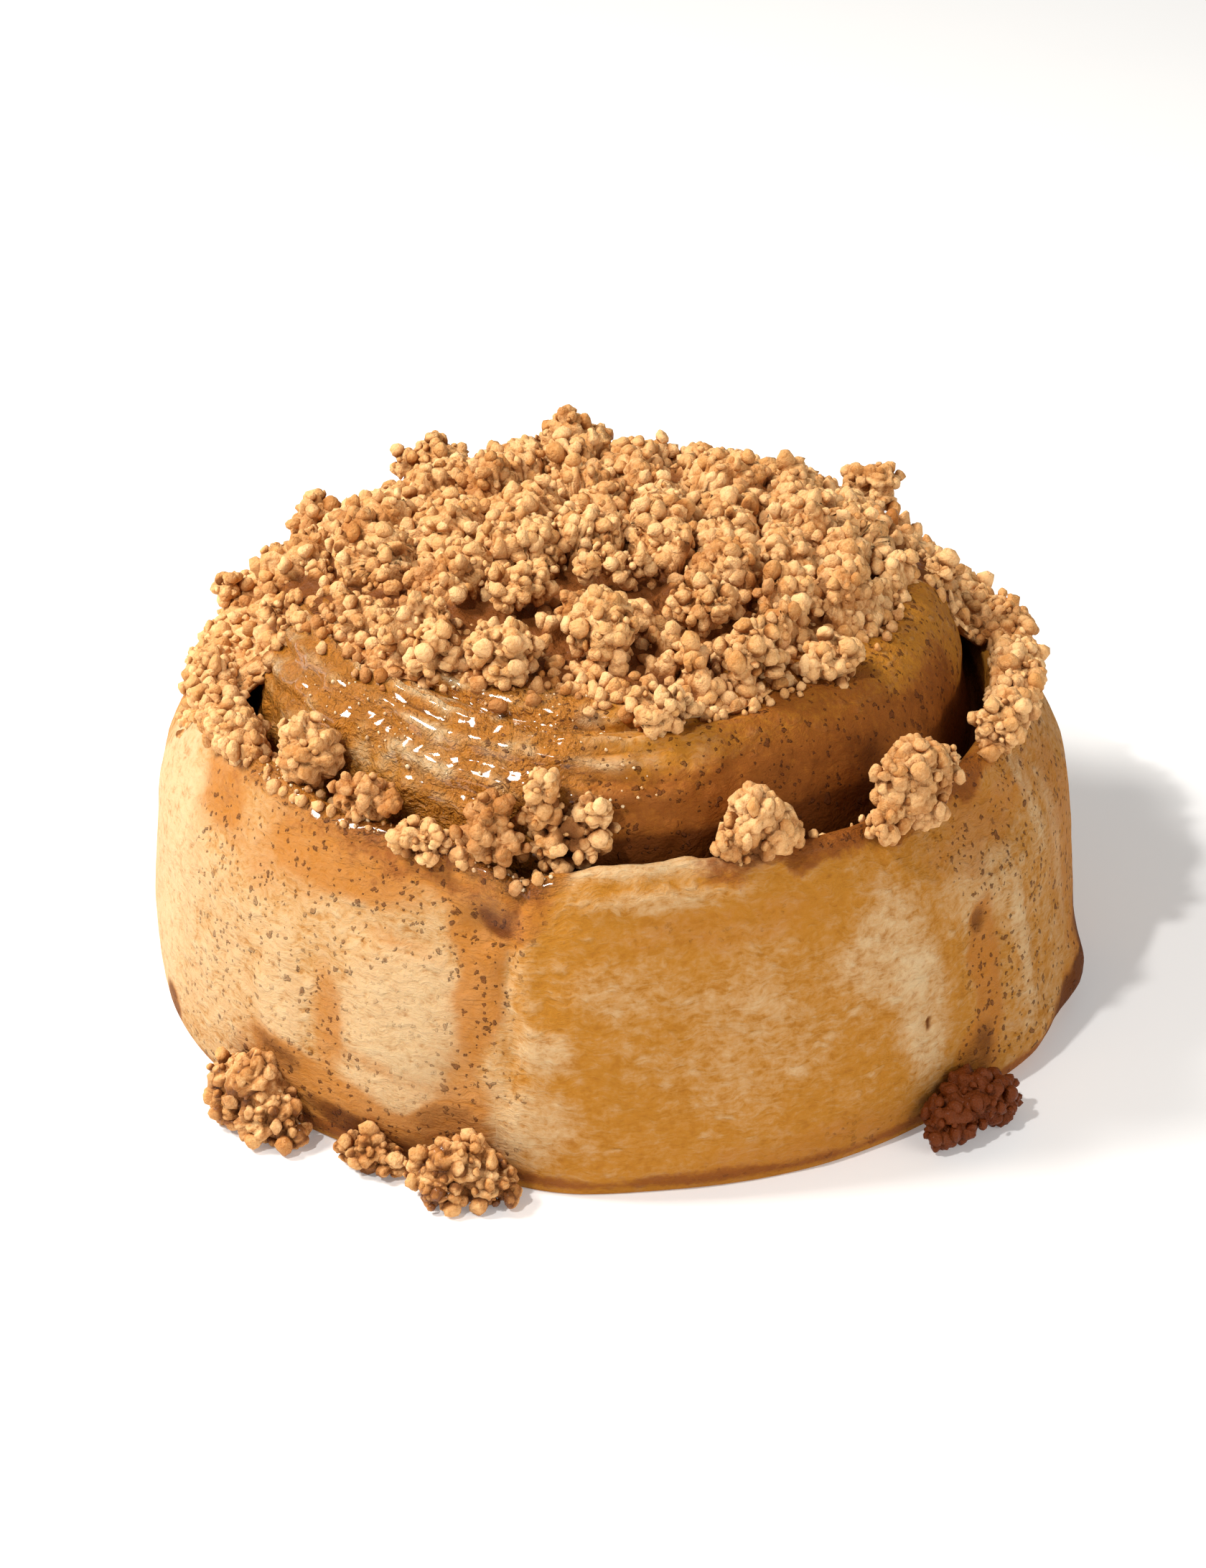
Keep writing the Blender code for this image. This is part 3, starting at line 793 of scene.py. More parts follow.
class WallSpots(Enum):
    """Spots on the wall, placed by the photograph: pale dough, glaze that ran down, dark pockets, swells. The thin
    pale band on the front lip is a painted highlight, the large pale spot at the far left is partly painted light,
    and the dark line in the fold over the left island is painted shade.
    """

    CREAM = (
        # The large pale spot at the far left: partly pale dough, partly painted light.
        Patch(195, 16, 12.0, 14.0, 0, 0.9),
        Patch(217, 15, 4.5, 9.0, 0, 0.20),
        Patch(228, 14, 3.2, 7.5, 8, 0.40),
        Patch(244.5, 18.5, 6.2, 5.8, -12, 0.75),
        Patch(244.5, 9.0, 6.8, 4.2, -14, 0.45),
        Patch(262, 17.5, 3.2, 2.4, -10, 0.55),
        Patch(261.5, 7.5, 4.0, 5.0, 0, 0.45),
        # A thin pale band on the front lip, just under the rim's crest: a painted highlight.
        Patch(275.5, 32.8, 8.5, 0.9, 0, 0.50),
        Patch(270, 24, 5.0, 3.0, 0, 0.25),
        Patch(285, 16, 9.0, 7.0, 15, 0.24),
        Patch(304, 23, 5.0, 5.8, 10, 0.62),
        Patch(309, 13, 3.6, 8.0, 0, 0.60),
        Patch(286, 24, 8.0, 4.0, 8, 0.14),
        Patch(321, 25, 6.0, 5.0, 0, 0.30),
        Patch(327.5, 15, 1.5, 7.5, 0, 0.45),
        Patch(337, 27, 1.4, 6.5, 0, 0.45),
        Patch(342, 20, 1.8, 8.0, 0, 0.40),
    )
    GLAZE = (
        Patch(254, 29.5, 3.4, 4.0, 10, 1.0),
        Patch(254.5, 21, 2.2, 6.0, 0, 0.8),
        Patch(253, 9, 2.4, 8.0, 0, 0.55),
        Patch(238, 31.0, 12.0, 2.4, 0, 0.55),
        Patch(222, 29, 10.0, 3.0, 0, 0.35),
        Patch(205, 30, 8.0, 3.0, 0, 0.3),
        Patch(235, 16, 1.8, 7.5, 5, 0.55),
        Patch(243, 11.6, 5.0, 0.9, -12, 0.35),
        Patch(232, 5, 8.0, 3.6, -20, 1.1),
        Patch(248, 3, 6.0, 3.2, 0, 1.0),
        Patch(238, 7.5, 8.0, 1.8, -18, 0.9),
        Patch(285, 29.5, 14.0, 2.6, 3, 0.40),
        Patch(300, 2.5, 16.0, 4.5, 0, 0.50),
        Patch(320, 15, 2.6, 9.0, 0, 1.0),
        Patch(316.5, 5.5, 3.0, 5.0, 0, 1.0),
        Patch(325, 30, 10.0, 4.0, 0, 0.7),
        Patch(347, 18, 8.0, 14.0, 0, 0.6),
    )
    DARK = (
        Patch(255.4, 29.6, 1.8, 2.2, 30, 0.34),
        Patch(256, 25.2, 0.6, 1.8, 0, 0.4),
        # A dark line in the fold over the pale island: painted shade.
        Patch(243.5, 25.8, 4.5, 0.5, -8, 0.32),
        Patch(319.5, 21.5, 1.7, 1.4, 0, 0.50),
        Patch(319.0, 14.0, 2.2, 8.0, 0, 0.26),
        Patch(317.0, 6.5, 3.4, 3.6, 0, 0.50),
        Patch(309.5, 13.3, 0.5, 0.7, 0, 0.9),
        Patch(343, 2.5, 9.0, 3.2, 0, 0.85),
        Patch(352, 6.5, 7.0, 4.5, 0, 0.80),
        Patch(222, 1.6, 5.0, 1.6, 0, 0.5),
        Patch(228, 9.5, 4.5, 1.7, -20, 0.62),
        Patch(238, 3.6, 6.0, 2.0, -15, 0.75),
        Patch(250, 7.6, 4.2, 1.3, 20, 0.50),
        Patch(258, 2.2, 3.6, 1.6, 0, 0.60),
        Patch(203, 3.6, 2.6, 2.2, 0, 0.7),
    )
    SWELL = (
        Patch(244.5, 18.5, 7.2, 6.8, -12, 0.75),
        Patch(243.5, 7.0, 7.0, 3.8, -14, 0.50),
        Patch(228, 14, 3.2, 7.5, 8, 0.40),
        Patch(262, 17.5, 3.6, 2.0, -10, 0.25),
        Patch(304, 23, 6.0, 6.5, 10, 0.25),
        Patch(275.5, 32.6, 10.0, 1.3, 0, 0.35),
        Patch(327.5, 15, 1.6, 9.0, 0, 0.30),
        Patch(243.5, 26.2, 5.0, 0.8, -8, -0.45),
        Patch(254.8, 29.0, 2.2, 2.2, 20, -0.9),
        Patch(309.5, 13.3, 0.7, 0.9, 0, -0.35),
        Patch(319.5, 21.5, 2.0, 1.4, 0, -0.40),
    )

    def mask(self, theta: Array, height: Array, warp: Array) -> Array:
        """The sum of the spots' strengths."""
        return sum(patch.mask(theta, height, warp) for patch in self.value)


class StrewnSpot(Enum):
    """Small things on the dough: first and last angle, first and last control row, how many are tried,
    smallest and largest diameter, and the share of their size that they keep apart."""

    RIM_CRUMBS = (206.0, 262.0, 9.0, 12.2, 420, 0.6, 1.5, 1.15)
    RIGHT_RIM_CRUMBS = (292.0, 330.0, 10.0, 12.0, 70, 0.6, 1.3, 1.6)
    LEFT_SHOULDER_CRUMBS = (186.0, 226.0, 17.4, 21.0, 420, 0.7, 1.8, 0.9)
    FRONT_SHOULDER_CRUMBS = (226.0, 290.0, 19.4, 21.2, 240, 0.8, 2.0, 0.8)
    RIGHT_SHOULDER_CRUMBS = (286.0, 366.0, 18.2, 21.4, 900, 0.7, 1.7, 0.85)
    RIM_SUGAR = (200.0, 264.0, 9.0, 12.4, 300, 0.22, 0.55, 1.6)
    COIL_SUGAR = (200.0, 276.0, 15.5, 20.4, 130, 0.20, 0.45, 1.8)


class SkinMark(Enum):
    """Colour and gloss of the dough: how much each zone of the skin adds to each mark. Some zones paint light or
    shade: the lip, the ridge tops and the left side add painted highlight or light to the pale mark, the groove, the
    creases and the low flank add painted shade, and the far right coil loses browning as painted light.
    """

    CREAM = {
        "spots_of_cream": 1.0,
        # The left side is made paler: partly pale dough, partly painted light where the left side faces the light.
        "pale_left": 0.56,
        "wall": 0.07,
        "right_wall": 0.20,
        "dry_back": 0.25,
        "left_coil": 0.15,
        "mottled_left_coil": 0.5,
        "pale_front_coil": 0.16,
        "mottled_front_coil": 0.5,
        # The front lip of the rim is made pale: a painted highlight.
        "lip": 0.80,
        # The ridge tops on the coil are made pale: partly dough where the glaze ran off, partly a painted highlight.
        "ridges": 1.1,
    }
    TOAST = {
        "right_wall": 0.15,
        "foot_of_wall": 1.3,
        "right_coil": 0.85,
        "far_coil": -0.42,
        # The far right coil is made lighter here, less browned: painted light.
        "right_rim": 0.35,
        # The low coil flank above the groove is browned here as painted shade.
        "deep_flank": 0.6,
        "stain": 0.75,
        "mottled_stain": 0.75,
        "right_crest": 0.85,
        "dripping_back": 0.20,
        "toasted_front_coil": 0.25,
    }
    GLAZE = {
        "spots_of_glaze": 1.0,
        "thin_left": 0.14,
        "island_edges": 0.9,
        "stain": 0.7,
        "left_rim": 0.9,
        "right_rim": 0.65,
        "inner_lip": 0.5,
        # The low coil flank above the groove is made amber here as painted shade.
        "deep_flank": 0.6,
        "left_coil": 0.75,
        "mottled_left_coil": -1.0,
        # Glaze is taken off the ridge tops: partly glaze that ran off, partly a painted highlight.
        "ridges_of_left_coil": -0.8,
        "dripping_back": 0.45,
        "foot_behind": 0.8,
        "front_coil": 0.30,
        "rim_behind": 0.5,
    }
    DARK = {
        "spots_of_dark": 1.0,
        "right_crest": 0.40,
        "stain": 0.30,
        "mottled_stain": 0.30,
        # The groove between the wrap and the coil is painted dark: painted shade, lessened at the front left.
        "groove": 0.95,
        "left_groove": -0.65,
        "foot_of_right_wall": 0.35,
        "right_coil": 0.20,
        "mottled_right_coil": 0.20,
        "pitted_right_coil": 0.20,
        # The low coil flank above the groove is darkened here as painted shade.
        "deep_flank": 0.25,
        # The creases between the ridges are darkened: partly glaze pooled there, partly painted shade.
        "creases": 0.75,
    }
    WET = {"left_coil": 1.0, "stain": 0.15, "left_rim": 0.9, "right_rim": 0.35, "groove": 0.2, "glazed_wall": 0.10}
    SPECK = {
        "speckled_glaze": 0.55,
        "speckled_left": 0.45,
        "right_wall": 0.7,
        "right_coil": 0.95,
        "speckled_front_coil": 0.7,
        "left_coil": 0.25,
        "right_rim": 0.6,
    }

    def total(self, zones: dict[str, Array]) -> Array:
        """The weighted sum of the zones' strengths."""
        return sum(weight * zones[name] for name, weight in self.value.items())


@dataclass
class Dough:
    """The baked dough: its skin, the folds at the seam and on the coil, and where glaze ran over it.

    Attributes:
        shape: the roll's form.
        columns: points round the roll.
        spacing: distance between rows along the section.
    """

    shape: RollShape
    columns: int = 400
    spacing: float = 0.66

    def _fine_rows(self, theta: Array) -> tuple[Array, Array]:
        """A smooth curve through the control rows at every angle, the Catmull-Rom cubic.

        Args:
            theta: angles.

        Returns:
            Radius and height of the fine rows, shaped rows, 2, angles, and each row's place among
            the control rows as a number.
        """
        rows = self.shape.rows(theta)
        ends = np.concatenate([rows[:1], rows, rows[-1:]])
        made, stations = [], []
        for k in range(len(rows) - 1):
            before, start, end, after = ends[k], ends[k + 1], ends[k + 2], ends[k + 3]
            length = float(np.linalg.norm(end - start, axis=0).mean())
            flat = 4.0 if k < 2 else 1.0
            count = max(2, round(length / (self.spacing * flat)))
            t = (np.arange(count) / count)[:, None, None]
            cubic = 2.0 * start + (end - before) * t
            cubic = cubic + (2.0 * before - 5.0 * start + 4.0 * end - after) * t**2
            cubic = cubic + (3.0 * start - before - 3.0 * end + after) * t**3
            made.append(0.5 * cubic)
            stations.append(k + t[:, 0, 0])
        made.append(rows[-1:])
        stations.append(np.array([len(rows) - 1.0]))
        return np.concatenate(made), np.concatenate(stations)

    def _ridges(self, grid: Array, theta: Array, station: Array) -> Array:
        """Round ridges with sharp creases along the coil at the front left: twice a sine's size, less 1."""
        twist = station - 17.2 - 0.35 * np.sin(np.radians(theta) * 2.0) + 0.30 * Field(6.0, 11).smooth(grid)
        here = band(station, 15.0, 19.9, 0.4) * ramp(theta, 184, 196) * (1.0 - ramp(theta, 268, 292))
        return (2.0 * np.abs(np.sin(twist * 3.3)) - 1.0) * here * (0.75 + 0.5 * Field(9.0, 12).smooth(grid))

    def _relief(self, grid: Array, theta: Array, station: Array) -> Array:
        """How far the skin stands out from the smooth form.

        Slow swells and small wrinkles everywhere, placed swells on the wall, a fold along the seam
        that fades downwards, ridges that follow the coil, and ripples where glaze stands.

        Args:
            grid: places of the fine points.
            theta: angle of each point.
            station: place of each point among the control rows.

        Returns:
            The distance outwards at each point.
        """
        height = grid[..., 2]
        on_wall = band(station, 3.2, 9.8, 0.8)
        swell = 0.22 * Field(11.0, 3).smooth(grid) + 0.12 * Field(4.2, 4).smooth(grid)
        wrinkle = 0.05 * Field(1.6, 5).rough(grid, 2)
        placed = WallSpots.SWELL.mask(theta, height, 0.18 * Field(4.0, 6).rough(grid, 2))
        lean = theta - self.shape.seam_angle - 0.12 * (height - 17.0)
        lean = lean + 1.6 * Field(8.0, 8).smooth(grid)
        fade = 0.25 + 0.75 / (1.0 + np.exp(-(height - 18.0) / 3.0))
        fold = (0.40 * np.exp(-(((lean - 2.4) / 1.6) ** 2)) - 0.75 * np.exp(-((lean / 0.9) ** 2))) * fade
        ridges = 0.72 * self._ridges(grid, theta, station)
        glazed = band(station, 9.0, 20.0, 0.6) * band(theta, 190.0, 292.0, 6.0)
        ripple = 0.20 * Field(1.9, 9).rough(grid * np.array([0.6, 1.0, 1.4]), 2)
        ripple = (ripple + 0.42 * Field(1.45, 19).smooth(grid)) * glazed
        flank = band(station, 14.0, 20.0, 0.6) * (1.0 - band(theta, 190.0, 286.0, 6.0))
        pitted = 0.16 * Field(1.6, 10).rough(grid, 2) * flank
        scarred = 0.15 * Field(2.4, 13).rough(grid * np.array([1.0, 1.0, 0.5]), 2)
        scarred = scarred * np.maximum(band(theta, 314, 372, 5.0), band(theta, -12, 12, 5.0)) * on_wall
        return swell + wrinkle + (placed + fold + scarred) * on_wall + ridges + ripple + pitted

    def _zones(self, grid: Array, theta: Array, station: Array) -> dict[str, Array]:
        """How far each point belongs to each zone of the skin.

        Args:
            grid: places of the fine points.
            theta: angle of each point, from 0 to 360.
            station: place of each point among the control rows.

        Returns:
            The strength of every zone at each point, by name.
        """
        wall, rim = band(station, 3.0, 9.8, 0.4), band(station, 9.3, 12.6, 0.4)
        coil, groove = band(station, 14.0, 24.0, 0.5), band(station, 12.2, 14.6, 0.35)
        mottle = Field(2.8, 22).rough(grid, 3)
        ridges = self._ridges(grid, theta, station)
        left_coil = coil * band(theta, 186.0, 266.0, 8.0)
        right_coil = coil * (1.0 - band(theta, 180.0, 288.0, 9.0))
        pale_front_coil = coil * band(theta, 262.0, 286.0, 6.0)
        right_wall = np.maximum(band(theta, 316.0, 362.0, 4.0), band(theta, -4.0, 14.0, 4.0)) * wall
        far_right = np.maximum(band(theta, 322.0, 372.0, 6.0), band(theta, -12.0, 40.0, 6.0))
        lip = rim * band(theta, 264.0, 292.0, 3.0)
        crest = band(station, 9.0 + 0.6 * Field(3.0, 26).smooth(grid), 13.0, 0.3)
        stain = band(station, 8.1 + 0.9 * Field(5.0, 25).smooth(grid), 12.6, 0.5) * band(theta, 196.0, 263.0, 4.0)
        stain = stain * (0.38 + 0.85 * ramp(theta, 222.0, 254.0))
        front = band(theta, 200.0, 312.0, 6.0)
        back = band(theta, 14.0, 172.0, 8.0) * wall
        height = grid[..., 2]
        foot = 1.0 - band(height, 2.1 + 1.3 * Field(6.0, 23).smooth(grid), 90.0, 1.2)
        drip_end = 23.0 + 9.0 * Field(7.0, 24).smooth(grid * np.array([1.0, 1.0, 0.12]))
        drips = band(height, drip_end, 60.0, 2.5)

        warp = 0.55 * Field(4.6, 21).rough(grid, 4)
        cream = WallSpots.CREAM.mask(theta, height, warp) * wall
        island = np.clip(cream, 0.0, 1.0)
        left_band = band(theta, 203.0, 259.0, 5.0) * wall * (1.0 - island)
        plain_wall = wall * (1.0 - 0.7 * island)
        return {
            "wall": wall,
            "right_wall": right_wall,
            # Paler towards the left: partly pale dough, partly painted light.
            "pale_left": ramp(theta, 140.0, 200.0) * (1.0 - ramp(theta, 254.0, 264.0)) * wall,
            "dry_back": back * (1.0 - drips),
            "dripping_back": back * drips,
            "foot_of_wall": foot * wall,
            "foot_of_right_wall": foot * right_wall,
            "foot_behind": foot * (1.0 - 0.6 * front),
            "spots_of_cream": cream,
            "spots_of_glaze": WallSpots.GLAZE.mask(theta, height, warp) * wall * (1.0 - 0.6 * island),
            "spots_of_dark": WallSpots.DARK.mask(theta, height, warp) * wall,
            "thin_left": left_band,
            "island_edges": left_band * island,
            "speckled_left": band(theta, 206.0, 261.0, 4.0) * plain_wall,
            "plain_wall": plain_wall,
            "left_rim": rim * band(theta, 196.0, 264.0, 4.0),
            "right_rim": rim * band(theta, 292.0, 362.0, 6.0),
            "rim_behind": rim * (1.0 - front),
            "lip": lip,
            "inner_lip": lip * band(station, 11.0, 13.0, 0.3),
            "right_crest": crest * band(theta, 280.0, 330.0, 5.0),
            "stain": stain,
            "mottled_stain": stain * mottle,
            "groove": groove,
            "left_groove": groove * band(theta, 190.0, 262.0, 5.0),
            # The low coil flank above the groove, where painted shade goes.
            "deep_flank": band(station, 14.0, 16.4, 0.7) * band(theta, 262.0, 345.0, 8.0),
            "left_coil": left_coil,
            "mottled_left_coil": left_coil * mottle,
            "ridges_of_left_coil": left_coil * np.maximum(ridges, 0.0) ** 2,
            "ridges": np.maximum(ridges, 0.0) ** 2,
            "creases": np.maximum(-ridges, 0.0) ** 2,
            "front_coil": coil * band(theta, 262.0, 290.0, 6.0),
            "pale_front_coil": pale_front_coil,
            "mottled_front_coil": pale_front_coil * mottle,
            "toasted_front_coil": coil * band(theta, 266.0, 290.0, 6.0),
            "speckled_front_coil": coil * band(theta, 252.0, 290.0, 8.0),
            "right_coil": right_coil,
            "mottled_right_coil": right_coil * mottle,
            "pitted_right_coil": right_coil * np.maximum(mottle, 0.0),
            # The far right of the coil, where it is painted lighter: painted light.
            "far_coil": right_coil * far_right,
        }

    def _marks(self, grid: Array, theta: Array, station: Array) -> dict[str, Array]:
        """Numbers from 0 to 1 that say what colour and gloss the skin has.

        Args:
            grid: places of the fine points.
            theta: angle of each point, from 0 to 360.
            station: place of each point among the control rows.

        Returns:
            cream, toast, glaze, dark, wet and speck at each point.
        """
        zones = self._zones(grid, theta, station)
        glaze = SkinMark.GLAZE.total(zones)
        zones["glazed_wall"] = glaze * zones["wall"]
        zones["speckled_glaze"] = np.clip(glaze, 0.0, 1.0) * zones["plain_wall"]
        return {mark.name.lower(): np.clip(mark.total(zones), 0.0, 1.0) for mark in SkinMark}

    def skin(self) -> tuple[Array, Array, Array, Array, Array]:
        """Fine rows carried round the axis, moved out along their normals by the relief.

        Returns:
            The rows before and after the move, their directions outwards, angles and stations.
        """
        theta = np.arange(self.columns) * 360.0 / self.columns + self.shape.seam_angle - 1.0
        rows, stations = self._fine_rows(theta)
        turn = np.radians(theta)
        radius, height = rows[:, 0], rows[:, 1]
        grid = np.stack([radius * np.cos(turn), radius * np.sin(turn), height], -1)
        angle = np.broadcast_to(theta % 360.0, radius.shape)
        station = np.broadcast_to(stations[:, None], radius.shape)
        relief = self._relief(grid, angle, station) * band(station, 2.6, 99.0, 0.5)
        moved = grid + grid_normals(grid) * relief[..., None]
        moved[..., 2] = np.maximum(moved[..., 2], 0.0)
        return grid, moved, grid_normals(moved), angle, station

    def surface(self) -> Surface:
        """The whole skin, with its marks, and texture corners in millimetres round and along it."""
        grid, moved, _, angle, station = self.skin()
        marks = self._marks(moved.reshape(-1, 3), angle.ravel(), station.ravel())
        ends = [[0.0, 0.0, 0.0], [0.0, 0.0, float(moved[-1, :, 2].mean())]]
        points = np.concatenate([moved.reshape(-1, 3), ends])
        marks = {name: np.append(numbers, [numbers[0], numbers[-1]]) for name, numbers in marks.items()}
        faces = ring_faces(len(grid), self.columns)
        return Surface(points, faces, marks, self._texture_corners(grid, faces))

    def strewn(self, spots: "StrewnSpot", seed: int) -> Balls:
        """Crumbs or sugar that fell on the dough.

        Args:
            spots: where, how many and how big.
            seed: picks the random numbers.

        Returns:
            The crumbs.
        """
        grid, moved, normals, angle, station = self.skin()
        low, high, first, last, draws, least, most, gap = spots.value
        span = (angle - low) % 360.0 < high - low
        wanted = span * (station > first) * (station < last) * 1.0
        wanted = wanted * np.clip(0.5 + 1.2 * Field(5.5, seed).smooth(grid), 0.05, 1.0)
        ground = Ground.of_grid(moved, normals, wanted, draws, np.random.default_rng(seed))
        return ground.strew(least, most, slope=2.0, gap=gap, sink=0.5, seed=seed + 1)

    def _texture_corners(self, grid: Array, faces: Array) -> Array:
        """Texture corners: millimetres round the wall, and along the section from the underside.

        Args:
            grid: places of the fine rows.
            faces: the surface's faces.

        Returns:
            Two numbers for each face corner.
        """
        rows, columns = grid.shape[:2]
        steps = np.linalg.norm(np.diff(grid, axis=0), axis=-1).mean(axis=1)
        along = np.append(np.concatenate([[0.0], np.cumsum(steps)]), [0.0, steps.sum()])
        around = 2.0 * math.pi * self.shape.wall_radius / columns
        column = faces % columns
        wrapped = column < column.max(axis=1, keepdims=True) - columns // 2
        column = np.where(wrapped, column + columns, column)
        row = np.where(faces < rows * columns, faces // columns, rows + faces - rows * columns)
        return np.stack([column * around, along[row]], -1)


@dataclass
class HeapShape:
    """The ground that the heap of streusel lies on, and how far out it reaches.

    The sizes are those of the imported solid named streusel_heap.
    """

    roll: RollShape
    coil_edge: float = 31.0
    rim_edge: float = 47.2
    rim_from: float = 12.0
    rim_to: float = 186.0

    def edge(self, theta: Array) -> Array:
        """How far out the heap reaches: over the rim at the back, and on the coil at the front."""
        turn = np.radians(theta)
        around = np.mod(theta, 360.0)
        front = np.where(around > 180.0, 1.0 - ramp(theta, -4, self.rim_from), 0.0)
        front = np.where(around < 90.0, 1.0 - ramp(theta, -4, self.rim_from), front)
        front = np.where((around >= 90.0) & (around <= 270.0), ramp(theta, self.rim_to, 200), front)
        wave = 0.9 * np.sin(5 * turn + 1.0) + 0.6 * np.sin(9 * turn)
        coil_edge = self.coil_edge + wave - 2.6 * bump(theta, 318, 10) + 1.6 * bump(theta, 275, 10)
        rim_edge = self.rim_edge + 0.4 * wave
        return rim_edge + (coil_edge - rim_edge) * front

    def ground(self, radius: Array, theta: Array) -> Array:
        """Height of what the heap lies on, which bridges the dip between the coil and the rim."""
        around = [self.roll.top(np.maximum(radius + step, 0.0), theta) for step in (-2.0, 0.0, 2.0)]
        inside_rim = 1.0 / (1.0 + np.exp((radius - self.rim_edge + 2.2) * 2.5))
        ground = np.maximum(np.mean(around, axis=0), around[1])
        return np.maximum(ground, (self.roll.rim(theta) + 0.6) * inside_rim)


class HeapClump(Enum):
    """Large clumps in the heap: angle, radius, middle height, then width, depth and height."""

    FRONT_LEFT = (233.0, 29.0, 47.0, 7.2, 7.0, 9.6)
    FRONT_MIDDLE_LEFT = (247.5, 28.4, 48.6, 9.0, 8.0, 9.0)
    FRONT_TALL = (267.5, 23.6, 50.2, 8.6, 9.0, 9.0)
    FRONT_LOW = (278.0, 33.6, 46.4, 8.4, 7.2, 7.4)
    FRONT_RIGHT = (298.0, 29.2, 48.8, 8.4, 7.6, 7.8)
    MIDDLE_RIGHT = (298.0, 20.0, 50.0, 9.6, 7.6, 6.4)
    FAR_FRONT_RIGHT = (315.0, 31.0, 45.8, 8.0, 7.2, 7.0)
    MIDDLE_LEFT = (236.0, 17.5, 50.2, 8.8, 7.4, 6.0)
    TOP = (270.0, 10.0, 50.6, 9.4, 7.4, 4.8)
    LEFT_SHOULDER = (209.0, 28.5, 45.8, 8.8, 6.8, 6.0)
    LEFT_SLOPE = (191.0, 34.0, 42.6, 8.6, 7.6, 5.4)
    RIGHT_SLOPE = (8.0, 34.6, 42.2, 8.6, 7.6, 5.4)
    RIGHT_RIM = (337.0, 43.4, 36.4, 9.4, 7.6, 6.4)
    RIGHT_RIM_MIDDLE = (351.0, 43.8, 35.6, 7.0, 6.4, 5.0)
    RIGHT_RIM_BACK = (6.0, 43.6, 35.6, 8.0, 6.6, 5.0)
    BACK_LEFT = (139.5, 43.0, 37.4, 8.6, 7.2, 7.6)
    BACK_MIDDLE_LEFT = (119.0, 43.2, 39.6, 11.2, 7.4, 8.0)
    BACK_PEAK = (
        *(96.0, 43.0, 38.6, 10.0, 7.8, 11.0),
        ((0.4, 0, 2.9, 2.1), (-2.6, 0, 0.4, 2.4), (2.3, 0, 0.8, 2.3), (0, 0, -2.2, 2.8)),
    )
    BACK_RIGHT = (47.0, 43.2, 39.3, 9.6, 7.4, 8.0)
    LEFT_RIM_BACK = (163.0, 43.8, 36.2, 4.8, 4.8, 5.0)
    LEFT_RIM_MIDDLE = (187.0, 42.4, 36.0, 7.2, 6.4, 5.4)
    LEFT_RIM_FRONT = (203.0, 42.6, 36.0, 7.6, 6.6, 5.4)


